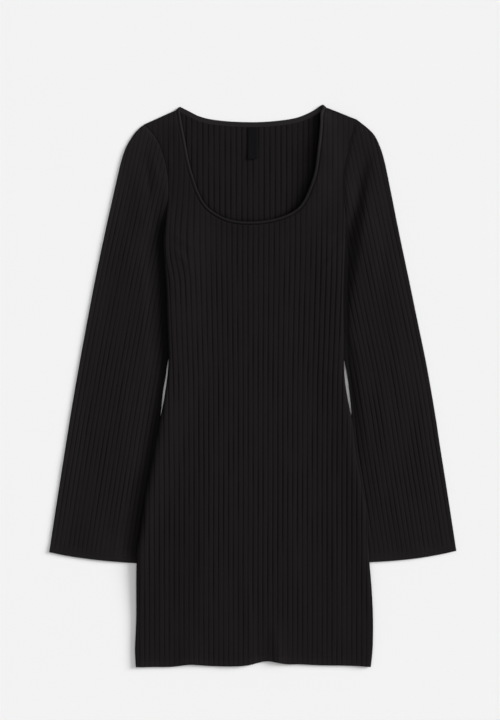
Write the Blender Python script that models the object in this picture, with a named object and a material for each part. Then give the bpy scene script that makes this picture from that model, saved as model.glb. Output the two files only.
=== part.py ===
"""Long-sleeved rib-knit dress with a scoop neck and flared cuffs, laid out flat, face up.

X runs across the dress, Y from the hem to the neck and Z up from the surface that it lies on.
The origin is under the middle of the dress's outline. Each piece that is cut and sewn is one
closed solid: the front and back panels, two sleeves as flattened tubes, the neck binding as
a ring that is folded over at the neck points, and a bare label.
"""

from collections import namedtuple
from math import ceil, cos, hypot, pi, sin

import bpy
from mathutils import Vector
from mathutils.geometry import delaunay_2d_cdt, intersect_line_line_2d

MM = 0.001  # every size and place below is in millimetres, and meshes are in metres

# The knit.
WALL = 1.2  # from the inside of the cloth to the bottom of a groove
RIB = 0.7  # how far a rib stands above its grooves
GROOVE_SHARE = 0.32  # the part of a rib's pitch that its V-shaped groove takes
SLEEVE_PITCH = 6.85  # from one sleeve rib to the next, along X
SEAM_GAP = 0.3  # pieces that are sewn together stay this far apart

# The edges.
EDGE_ROUND = 1.8  # the surface rounds down to a seam or a fold over this distance
EDGE_DROP = 0.2  # how far below a groove it has come there
BACK_DROP = 0.07  # and how far on the back's plain inside
HEM_DEPTH = 13.5  # the body's turned hem
CUFF_DEPTH = 11.5  # a sleeve's turned hem
HEM_STEP = 0.4  # how much thicker the turned cloth is
HEM_SLOPE = 2.0  # the step runs out over this distance
TUBE_EDGE = 1.5  # height of a sleeve's folded edge
TUBE_WALL = 2.2  # cloth between a sleeve's folded edge and its hollow
HOLLOW = 0.4  # the space inside a flattened sleeve

# How finely the pieces are divided.
ROW_STEP = 52.0  # along the ribs
EDGE_STEP = 26.0  # along the body's sides
SLEEVE_STEP = 34.0  # along a sleeve's folded edges
ARMHOLE_STEP = 17.0
BAND_STEP = 13.0
HEM_SETTLES = 2.4  # the last row beside a hem is this many of its depths up
SAG = 0.14  # a stretch leaves the form by no more than this
CELL = 106.0  # the plan's points over the lofts stand this far apart, or closer
FINEST = 6.5
SHORTEST = 0.6  # no rib line has a shorter stretch

HEM_Y = -420.5
UNDERARM_Y = 220.0
TOP_Y = 422.0
RIBBED_HALF = 185.0  # ribs are laid out this far from the middle before they are cut to shape

Row = namedtuple("Row", "y left right")  # distances from the middle line on each side
Point = namedtuple("Point", "x y")
Wave = namedtuple("Wave", "x rise reach")
Loft = namedtuple("Loft", "x y rise reach_x reach_y")
Level = namedtuple("Level", "y height")
Pitch = namedtuple("Pitch", "y step")
Strip = namedtuple("Strip", "across drop")

# Half widths of the body from the hem to the underarm.
SIDES = (
    Row(HEM_Y, 175.5, 177.5),
    Row(-397, 177.0, 179.5),
    Row(-344, 175.5, 180.0),
    Row(-290, 175.0, 177.0),
    Row(-240, 172.5, 172.5),
    Row(-190, 165.0, 170.5),
    Row(-150, 159.0, 163.5),
    Row(-104, 149.0, 154.5),
    Row(-60, 140.5, 150.0),
    Row(-25, 133.8, 143.7),
    Row(5, 129.0, 138.5),
    Row(40, 125.7, 137.0),
    Row(90, 127.5, 137.0),
    Row(150, 130.5, 137.5),
    Row(UNDERARM_Y, 133.7, 139.8),
)

# The armhole seams above the underarm, up to the shoulder points.
ARMHOLES = (
    Row(UNDERARM_Y, 133.7, 139.8),
    Row(256, 130.1, 139.4),
    Row(289, 125.9, 136.1),
    Row(322, 128.0, 136.8),
    Row(345, 133.3, 141.5),
    Row(372, 144.0, 147.0),
)
SHOULDER_POINTS = {-1: Point(162.2, 393.2), 1: Point(155.9, 398.0)}
NECK_POINTS = {-1: Point(107.5, 417.5), 1: Point(103.1, 420.1)}

# The edge of the front neck opening, from the neck point on the left to the one on the right.
FRONT_NECK = (
    Point(-107.5, 417.5),
    Point(-107.8, 404.5),
    Point(-103.7, 380.0),
    Point(-98.8, 350.5),
    Point(-90.5, 319.0),
    Point(-80.6, 292.0),
    Point(-65.8, 271.0),
    Point(-47.6, 257.5),
    Point(-28.1, 251.2),
    Point(-4.1, 249.5),
    Point(21.0, 251.5),
    Point(45.4, 257.6),
    Point(65.2, 269.6),
    Point(80.0, 288.5),
    Point(94.0, 323.0),
    Point(99.8, 358.0),
    Point(101.5, 388.0),
    Point(101.6, 408.0),
    Point(103.1, 420.1),
)

# The edge of the back neck opening, from right to left.
BACK_NECK = (
    Point(103.1, 420.1),
    Point(85.9, 411.2),
    Point(72.0, 405.0),
    Point(50.0, 400.3),
    Point(15.0, 397.0),
    Point(-20.0, 397.0),
    Point(-52.0, 399.4),
    Point(-75.0, 403.8),
    Point(-94.0, 411.2),
    Point(-107.5, 417.5),
)

# The hem's corners between its two ends, and where its edge rises in soft waves.
HEM_STOPS = (-150, -122, -108, -94, -80, -66, -34, -9, 3, 10, 16, 21, 26, 32, 39, 51, 70, 100, 130, 155)
HEM_WAVES = (
    Wave(-94, 3.0, 28),
    Wave(21, 7.0, 30),
    Wave(70, 3.0, 60),
    Wave(130, 1.5, 40),
)

# How high the body's side seams lie: on the sleeves below the waist, and free below the cuffs.
SIDE_LEVELS = (
    Level(HEM_Y, 1.2),
    Level(-350, 2.6),
    Level(-300, 3.7),
    Level(-265, 4.3),
    Level(-80, 4.3),
    Level(-48, 3.4),
    Level(-28, 1.6),
    Level(-8, 0.0),
    Level(60, 0.0),
)
SIDE_SHELF = 13.0  # the side stays at that height over this width
SIDE_REACH = 38.0  # and is down on the surface this far in
SIDE_COLUMNS = (6.0, 13.0, 18.0, 23.0, 28.0, 33.0, 38.0)  # the plan's points, from the side in
SIDE_ROWS = (-398, -350, -300, -262, -225, -190, -160, -136, -116, -98, -80, -64, -48, -36, -26, -16, -6)

# How the upper layer is puffed up: middle, rise, and reach each way.
FRONT_LOFTS = (
    Loft(104, 352, 5.0, 26, 80),
    Loft(98, 404, 3.2, 24, 34),
    Loft(-108, 330, 1.0, 22, 90),
    Loft(-6, 262, 0.8, 60, 26),
    Loft(21, -415, 4.4, 30, 80),
    Loft(-94, -415, 1.6, 30, 60),
    Loft(-100, 175, 1.0, 34, 60),
    Loft(104, 175, 1.0, 34, 60),
    Loft(0, 80, 0.7, 130, 150),
    Loft(10, -200, 0.9, 120, 160),
)
SLEEVE_LOFTS = (
    Loft(168, 300, 1.6, 32, 95),
    Loft(188, 180, 1.1, 42, 120),
    Loft(212, 10, 0.8, 55, 150),
    Loft(240, -240, 1.5, 34, 60),
)
SEAM_EASE = 14.0  # lofts come down to a shoulder seam over this distance
LOFT_CLEAR = 4.0  # the plan's points over the lofts stay this far inside the edge

# The pitch of the body's ribs, which fan out a little above the waist.
BODY_PITCH = (
    Pitch(HEM_Y, 7.38),
    Pitch(0, 7.42),
    Pitch(90, 7.62),
    Pitch(UNDERARM_Y, 7.88),
    Pitch(422, 7.95),
)

# The outer folds of the sleeves below the shoulder points, and their underarm seams.
SLEEVE_FOLDS = (
    Row(-252, 305.6, 306.2),
    Row(-164, 292.6, 292.6),
    Row(-20, 270.1, 269.8),
    Row(124, 243.4, 241.7),
    Row(232, 221.8, 219.1),
    Row(304, 205.9, 204.7),
    Row(340, 197.0, 197.0),
    Row(358, 190.6, 191.5),
    Row(376, 181.4, 183.0),
    Row(387, 172.0, 172.5),
)
UNDERARMS = (
    Row(-270, 166.3, 166.0),
    Row(-190, 156.2, 159.3),
    Row(-104, 145.7, 152.2),
    Row(-60, 140.0, 148.6),
    Row(-25, 135.6, 145.8),
    Row(5, 131.3, 142.0),
    Row(40, 127.1, 138.4),
    Row(90, 128.5, 138.1),
    Row(150, 131.5, 138.5),
    Row(UNDERARM_Y - 3, 134.6, 140.7),
)
CUFF_OUTER = {-1: -248.0, 1: -245.5}  # height of the cuff's edge at the fold
CUFF_INNER = {-1: -265.0, 1: -263.5}  # and at the underarm seam
CUFF_STOPS = 7  # stretches along the cuff's edge
FOLD_STOPS = (304, 322, 340, 358, 376, 387)  # the outer fold's corners over the shoulder
HOLLOW_ROWS = (-230, -182, -134, -85, -37, 11, 60, 108, 156, 205, 253, 301, 350)
RIB_SLANT = 0.2125  # sleeve ribs run straight on above the point where the fold starts to curve
STRAIGHT_Y = 232.0

# The raised strip of the underarm seam and the valley beside it.
SEAM_STRIP = (Strip(5.5, 0.1), Strip(8.6, 0.9))
RIBS_FROM_SEAM = 11.5  # the ribs end this far from the seam
STRIP_ENDS = (-110.0, -60.0)  # the strip fades out between these heights
STRIP_START = 45.0  # and comes in over this distance below the underarm

# The neck binding: its width and thickness on the front and on the back.
FRONT_BAND = (5.0, 2.2)
BACK_BAND = (7.0, 1.6)
BAND_MITRE = 7.6  # its width along the shoulder line, where it folds over
BAND_LIFTS = (385.0, 403.0)  # between these heights the front binding rises over the back one
FOLD_TURNS = 5
BAND_PROFILE = (  # across the binding and through it, as shares of its width and thickness
    (0.0, 0.5),
    (0.1, 0.05),
    (0.9, 0.05),
    (1.0, 0.5),
    (0.88, 0.9),
    (0.5, 1.0),
    (0.12, 0.9),
)

# The label.
LABEL_WIDTH = 13.6
LABEL_TOP = 388.6
LABEL_LENGTH = 47.5
LABEL_THICK = 1.0
LABEL_CURL = 1.1  # its free end stands up by this much
LABEL_ROWS = 8

KNIT = (0.0125, 0.0115, 0.0120, 1.0)
KNIT_ROUGHNESS = 0.88
BINDING = (0.0160, 0.0150, 0.0155, 1.0)
SATIN = (0.0090, 0.0090, 0.0095, 1.0)
SATIN_ROUGHNESS = 0.42


def smoothstep(share):
    """0 below 0, 1 above 1, and a soft step between."""
    share = min(1.0, max(0.0, share))
    return share * share * (3 - 2 * share)


def along(rows, column, y):
    """A column's value at a height, on a smooth curve through the rows."""
    last = len(rows) - 1
    n = 0
    while n < last - 1 and y > rows[n + 1].y:
        n += 1

    def slope(k):
        before, after = rows[max(0, k - 1)], rows[min(last, k + 1)]
        return (getattr(after, column) - getattr(before, column)) / (after.y - before.y)

    low, high = rows[n], rows[n + 1]
    span = high.y - low.y
    t = min(1.0, max(0.0, (y - low.y) / span))
    start, end = getattr(low, column), getattr(high, column)
    ease = t * t * (3 - 2 * t)
    bend = t * (1 - t) * ((1 - t) * slope(n) - t * slope(n + 1)) * span
    return start + (end - start) * ease + bend


def spaced(points, step):
    """Points about a step apart on a smooth curve through the given ones, both ends kept."""
    last = len(points) - 1
    dense = []
    for n in range(last):
        a, b = Vector(points[n]), Vector(points[n + 1])
        into = (b - Vector(points[max(0, n - 1)])) / 2
        out = (Vector(points[min(last, n + 2)]) - a) / 2
        into *= min(1.0, (b - a).length / into.length)
        out *= min(1.0, (b - a).length / out.length)
        for k in range(12):
            t = k / 12
            ease = t * t * (3 - 2 * t)
            bend = into * t * (1 - t) * (1 - t) - out * t * t * (1 - t)
            dense.append(a + (b - a) * ease + bend)
    dense.append(Vector(points[last]))
    travelled = [0.0]
    for a, b in zip(dense, dense[1:]):
        travelled.append(travelled[-1] + (b - a).length)
    count = max(1, round(travelled[-1] / step))
    chosen = []
    n = 0
    for k in range(count + 1):
        goal = travelled[-1] * k / count
        while n < len(dense) - 2 and travelled[n + 1] < goal:
            n += 1
        share = (goal - travelled[n]) / (travelled[n + 1] - travelled[n])
        chosen.append(dense[n].lerp(dense[n + 1], min(1.0, share)))
    return chosen


def heights(low, high, step):
    """Evenly spaced heights from low to high, both ends in."""
    count = max(1, ceil((high - low) / step))
    return [low + (high - low) * k / count for k in range(count + 1)]


def to_the_right(direction):
    """The unit vector at a right angle to a direction, on its right-hand side."""
    return Vector((direction.y, -direction.x)).normalized()


def shifted(path, distance):
    """An open path moved to its right-hand side by a distance."""
    moved = []
    for n, point in enumerate(path):
        before, after = path[max(0, n - 1)], path[min(len(path) - 1, n + 1)]
        moved.append(point + to_the_right(after - before) * distance)
    return moved


def inset(loop, distances):
    """A loop that turns to the left, moved inward, with a distance for each of its corners."""
    moved = []
    for n, point in enumerate(loop):
        into = (point - loop[n - 1]).normalized()
        out = (loop[(n + 1) % len(loop)] - point).normalized()
        inward = -(to_the_right(into) + to_the_right(out)).normalized()
        spread = max(0.6, inward.dot(-to_the_right(into)))
        moved.append(point + inward * distances[n] / spread)
    return moved


def is_inside(point, loop):
    """Whether a point lies in a closed loop."""
    inside = False
    for n, b in enumerate(loop):
        a = loop[n - 1]
        if (a.y > point.y) != (b.y > point.y):
            inside ^= point.x < a.x + (b.x - a.x) * (point.y - a.y) / (b.y - a.y)
    return inside


def clipped(line, loop):
    """The stretches of a line, whose points rise in y, that lie in a loop."""
    cuts = [(point, False) for point in line]
    for a, b in zip(line, line[1:]):
        for n, d in enumerate(loop):
            hit = intersect_line_line_2d(a, b, loop[n - 1], d)
            if hit:
                cuts.append((hit, True))
    cuts.sort(key=lambda cut: cut[0].y)
    stretches, current = [], []
    for (a, _), (b, _) in zip(cuts, cuts[1:]):
        if is_inside((a + b) / 2, loop):
            current = current or [a]
            current.append(b)
        elif current:
            stretches.append(current)
            current = []
    if current:
        stretches.append(current)
    return [thinned(stretch) for stretch in stretches if long_enough(stretch)]


def long_enough(stretch):
    """Whether a stretch is worth an edge."""
    return (stretch[-1] - stretch[0]).length > 4 * SHORTEST


def thinned(stretch):
    """A stretch without the inner points that lie close to another one."""
    kept = [stretch[0]]
    for point in stretch[1:-1]:
        if (point - kept[-1]).length > SHORTEST and (stretch[-1] - point).length > SHORTEST:
            kept.append(point)
    return kept + [stretch[-1]]


def split(a, b, height):
    """Points from a to b, without a itself, that keep their stretches close to a form."""
    if (b - a).length > 2 * FINEST:
        chord = [(share, height(*a.lerp(b, share))) for share in (0, 0.25, 0.5, 0.75, 1)]
        low, high = chord[0][1], chord[-1][1]
        if max(abs(low + (high - low) * share - z) for share, z in chord) > SAG:
            middle = (a + b) / 2
            return split(a, middle, height) + split(middle, b, height)
    return [b]


def refined(line, height):
    """A line with points added where a form bends."""
    points = [line[0]]
    for a, b in zip(line, line[1:]):
        points += split(a, b, height)
    return points


def over_form(low, high, height):
    """The corners of square cells between two corners, smaller where a form bends."""
    middle = (low + high) / 2
    corners = [Vector((x, y)) for x in (low.x, high.x) for y in (low.y, high.y)]
    if high.x - low.x > FINEST:
        ends = [(corners[0], corners[1]), (corners[2], corners[3]), (corners[0], corners[2])]
        ends += [(corners[1], corners[3]), (corners[0], corners[3]), (corners[1], corners[2])]
        bends = [abs((height(*a) + height(*b)) / 2 - height(*(a + b) / 2)) for a, b in ends]
        if max(bends) > SAG:
            quarters = []
            for x, across in ((low.x, middle.x), (middle.x, high.x)):
                for y, up in ((low.y, middle.y), (middle.y, high.y)):
                    quarters += over_form(Vector((x, y)), Vector((across, up)), height)
            return quarters
    return corners


class Plan:
    """A loop filled with triangles, seen from above. The loop's own corners come first."""

    def __init__(self, loops, lines=(), points=()):
        """Loops are lists of points that turn to the left and may share points."""
        corners, places, faces = [], {}, []
        for loop in loops:
            face = []
            for point in loop:
                key = (round(point.x, 4), round(point.y, 4))
                if key not in places:
                    places[key] = len(corners)
                    corners.append(Vector(point))
                face.append(places[key])
            faces.append(face)
        edges = []
        for line in lines:
            first = len(corners)
            corners += [Vector(point) for point in line]
            edges += [(n, n + 1) for n in range(first, len(corners) - 1)]
        corners += [Vector(point) for point in points]
        found = delaunay_2d_cdt(corners, edges, faces, 1, 1e-3)
        self.corners = [Vector(point) for point in found[0]]
        self.faces = [tuple(face) for face in found[2]]
        self.owners = [set(owner) for owner in found[5]]
        new_place = {}
        for n, originals in enumerate(found[3]):
            for original in originals:
                new_place[original] = n
        self.loops = [[new_place[n] for n in face] for face in faces]

    def part(self, owner):
        """The triangles that lie in one of the loops."""
        return [face for face, owners in zip(self.faces, self.owners) if owner in owners]


class Shell:
    """The corners and faces of one closed solid."""

    def __init__(self, side=1):
        """A side of -1 mirrors the solid across the middle line."""
        self.side = side
        self.corners = []
        self.faces = []

    def corner(self, point, height):
        """Adds a corner and returns its number."""
        self.corners.append((point.x * self.side * MM, point.y * MM, height * MM))
        return len(self.corners) - 1

    def face(self, numbers):
        """Adds a face, turned round where the solid is mirrored."""
        self.faces.append(numbers if self.side > 0 else numbers[::-1])

    def skin(self, corners, faces, height, up):
        """Adds triangles at the heights that a function of the corner's number gives."""
        used = sorted({n for face in faces for n in face})
        numbers = {n: self.corner(corners[n], height(n)) for n in used}
        for face in faces:
            turned = [numbers[n] for n in face]
            self.face(turned if up else turned[::-1])
        return numbers

    def wall(self, lower, upper, closed):
        """Joins two rows of corners. Its outside is to the right of the way they run."""
        count = len(lower) if closed else len(lower) - 1
        for n in range(count):
            after = (n + 1) % len(lower)
            self.face([lower[n], lower[after], upper[after], upper[n]])

    def build(self, name, colour, roughness):
        """The finished object."""
        merged, numbers = {}, []
        for corner in self.corners:
            key = tuple(round(value, 8) for value in corner)
            numbers.append(merged.setdefault(key, len(merged)))
        faces = []
        for face in self.faces:
            ring = [numbers[n] for n in face]
            ring = [n for k, n in enumerate(ring) if n != ring[k - 1]]
            if len(ring) > 2:
                faces.append(ring)
        mesh = bpy.data.meshes.new(name)
        mesh.from_pydata(list(merged), [], faces)
        mesh.validate()
        mesh.materials.append(material(name + "_cloth", colour, roughness))
        model = bpy.data.objects.new(name, mesh)
        bpy.context.scene.collection.objects.link(model)
        return model


def material(name, colour, roughness):
    """A cloth in one colour."""
    made = bpy.data.materials.new(name)
    made.use_nodes = True
    shader = made.node_tree.nodes["Principled BSDF"]
    shader.inputs["Base Color"].default_value = colour
    shader.inputs["Roughness"].default_value = roughness
    shader.inputs["Metallic"].default_value = 0.0
    return made


def raised(lofts, x, y):
    """How far the upper layer is puffed up at a place."""
    total = 0.0
    for loft in lofts:
        away = hypot((x - loft.x) / loft.reach_x, (y - loft.y) / loft.reach_y)
        total += loft.rise * (1 - smoothstep(away))
    return total


def rib_height(x, pitch):
    """The height of the ribs' outside above the bottom of their grooves, one groove at x = 0."""
    share = x / pitch
    from_groove = abs(share - round(share))
    return RIB * min(1.0, from_groove / (GROOVE_SHARE / 2))


def rib_shares(low, high, pitch):
    """The lines that bound the ribs between two places: grooves, and both sides of each rib."""
    for k in range(int(low // pitch), int(high // pitch) + 2):
        yield from (k - GROOVE_SHARE / 2, k, k + GROOVE_SHARE / 2)


# The body.


def side_x(side, y):
    """The x of a side seam or armhole seam at a height."""
    rows = SIDES if y <= UNDERARM_Y else ARMHOLES
    return side * along(rows, "left" if side < 0 else "right", y)


def hem_y(x):
    """The height of the hem's edge."""
    return HEM_Y + sum(w.rise * (1 - smoothstep(abs(x - w.x) / w.reach)) for w in HEM_WAVES)


def shoulder(side):
    """The shoulder point and the unit vector to it from the neck point."""
    tip, neck = SHOULDER_POINTS[side], NECK_POINTS[side]
    end = Vector((side * tip.x, tip.y))
    start = Vector((side * neck.x, neck.y))
    return end, (end - start).normalized()


def neck_corner(side):
    """Where the panels' neck edge meets the shoulder seam, clear of the binding."""
    neck = NECK_POINTS[side]
    return Vector((side * neck.x, neck.y)) + shoulder(side)[1] * (BAND_MITRE + SEAM_GAP)


def armhole(side):
    """The armhole seam from the underarm up to the shoulder point."""
    rows = [Vector((side_x(side, row.y), row.y)) for row in ARMHOLES]
    return spaced(rows + [shoulder(side)[0]], ARMHOLE_STEP)


def body_sides():
    """The hem from left to right, and the right and left edges, up and down."""
    corners = {side: Vector((side_x(side, HEM_Y), hem_y(side_x(side, HEM_Y)))) for side in (-1, 1)}
    hem = [corners[-1]] + [Vector((x, hem_y(x))) for x in HEM_STOPS] + [corners[1]]
    edges = {}
    for side in (-1, 1):
        rows = heights(HEM_Y, UNDERARM_Y, EDGE_STEP)[1:-1]
        edges[side] = [Vector((side_x(side, y), y)) for y in rows] + armhole(side)
    return hem, edges[1], edges[-1][::-1]


def neck_seam(edge, width, turn):
    """The panels' edge beside the binding, from one shoulder seam to the other."""
    path = shifted(edge, turn * (width + SEAM_GAP))
    ends = (-1, 1) if edge[0].x < 0 else (1, -1)
    return [neck_corner(ends[0])] + path[1:-1] + [neck_corner(ends[1])]


def front_edge():
    """The edge of the front opening, from left to right."""
    return spaced(FRONT_NECK, BAND_STEP)


def back_edge():
    """The edge of the back opening, from right to left."""
    return spaced(BACK_NECK, BAND_STEP)


def side_lift(x, y):
    """The height of the back panel's underside, which rises over the sleeves at the sides."""
    nearest = min(x - side_x(-1, y), side_x(1, y) - x) if y < UNDERARM_Y else SIDE_REACH
    share = (nearest - SIDE_SHELF) / (SIDE_REACH - SIDE_SHELF)
    return max(0.0, along(SIDE_LEVELS, "height", y)) * (1 - smoothstep(share))


def from_shoulder(x, y):
    """The distance from a place to the nearer shoulder line."""
    side = 1 if x > 0 else -1
    tip, way = shoulder(side)
    return abs((Vector((x, y)) - tip).dot(to_the_right(way)))


def front_underside(x, y):
    """The height of the front panel's inside."""
    return side_lift(x, y) + WALL + SEAM_GAP + front_loft(x, y)


def body_pitch(y):
    """The pitch of the body's ribs at a height."""
    return along(BODY_PITCH, "step", y)


def hem_step(above_edge, depth):
    """How much thicker the cloth is where it is turned up."""
    return HEM_STEP * (1 - smoothstep((above_edge - depth) / HEM_SLOPE))


def front_loft(x, y):
    """How far the front is puffed up from the back at a place."""
    return raised(FRONT_LOFTS, x, y) * smoothstep(from_shoulder(x, y) / SEAM_EASE)


def plan_points(loop):
    """Points inside the front where its sides rise and over its lofts."""
    points = []
    for y in SIDE_ROWS:
        for side in (-1, 1):
            points += [Vector((side_x(side, y) - side * inner, y)) for inner in SIDE_COLUMNS]
    clear = inset(loop, [LOFT_CLEAR] * len(loop))
    for column in range(-2, 2):
        for row in range(8):
            low = Vector((column * CELL, HEM_Y + row * CELL))
            cells = over_form(low, low + Vector((CELL, CELL)), front_loft)
            points += [point for point in cells if is_inside(point, clear)]
    return list({(round(point.x, 2), round(point.y, 2)): point for point in points}.values())


def rib_lines(line_x, shares, rows, loop, height):
    """Rib lines in a loop, from a line's x at a height and its rows, closer where a form bends."""
    lines = []
    for share in shares:
        line = [Vector((line_x(share, y), y)) for y in rows(share)]
        lines += [refined(stretch, height) for stretch in clipped(line, loop)]
    return lines


def front_panel(plan, loop):
    """The front: ribs outside, plain inside, with the hem turned up."""
    ribbed = inset(loop, [EDGE_ROUND] * len(loop))

    def rows(share):
        edge = hem_y(share * body_pitch(HEM_Y))
        hem = [edge, edge + HEM_DEPTH, edge + HEM_DEPTH + HEM_SLOPE, edge + HEM_SETTLES * HEM_DEPTH]
        return hem + heights(HEM_Y + ROW_STEP, TOP_Y, ROW_STEP)

    def line_x(share, y):
        return share * body_pitch(y)

    shares = rib_shares(-RIBBED_HALF, RIBBED_HALF, body_pitch(HEM_Y))
    lines = rib_lines(line_x, shares, rows, ribbed, front_underside)
    outside = Plan([loop], lines + [ribbed + ribbed[:1]])
    border = set(outside.loops[0])

    def outer(n):
        x, y = outside.corners[n]
        level = front_underside(x, y) + WALL + hem_step(y - hem_y(x), HEM_DEPTH)
        return level - EDGE_DROP if n in border else level + rib_height(x, body_pitch(y))

    def inner(n):
        return front_underside(*plan.corners[n])

    shell = Shell()
    top = shell.skin(outside.corners, outside.faces, outer, up=True)
    bottom = shell.skin(plan.corners, plan.part(0), inner, up=False)
    lower = [bottom[n] for n in plan.loops[0]]
    upper = [top[n] for n in outside.loops[0]]
    shell.wall(lower, upper, closed=True)
    return shell.build("front_panel", KNIT, KNIT_ROUGHNESS)


def back_panel(plan, loop):
    """The back: its outside lies flat, and its sides rise over the sleeves."""
    outline = [(round(point.x, 4), round(point.y, 4)) for point in loop]
    numbers = {}
    for n, corner in enumerate(plan.corners):
        numbers.setdefault((round(corner.x, 4), round(corner.y, 4)), n)
    ring = [numbers[key] for key in outline]
    edge = set(ring)

    def under(n):
        return side_lift(*plan.corners[n])

    def over(n):
        x, y = plan.corners[n]
        return side_lift(x, y) + WALL - (BACK_DROP if n in edge else 0)

    shell = Shell()
    top = shell.skin(plan.corners, plan.faces, over, up=True)
    bottom = shell.skin(plan.corners, plan.faces, under, up=False)
    shell.wall([bottom[n] for n in ring], [top[n] for n in ring], closed=True)
    return shell.build("back_panel", KNIT, KNIT_ROUGHNESS)


def body():
    """Both panels, from one plan, so that the front's inside follows the back."""
    hem, right, left = body_sides()
    scoop = neck_seam(front_edge(), FRONT_BAND[0], 1)
    nape = neck_seam(back_edge(), BACK_BAND[0], -1)
    front_loop = hem + right + scoop[::-1] + left
    back_loop = hem + right + nape + left
    neck_loop = scoop + nape[1:-1]
    plan = Plan([front_loop, neck_loop], points=plan_points(front_loop))
    front_panel(plan, front_loop)
    back_panel(plan, back_loop)


# A sleeve is worked out on the +X side, with its own side's sizes, and mirrored for the other.


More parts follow.
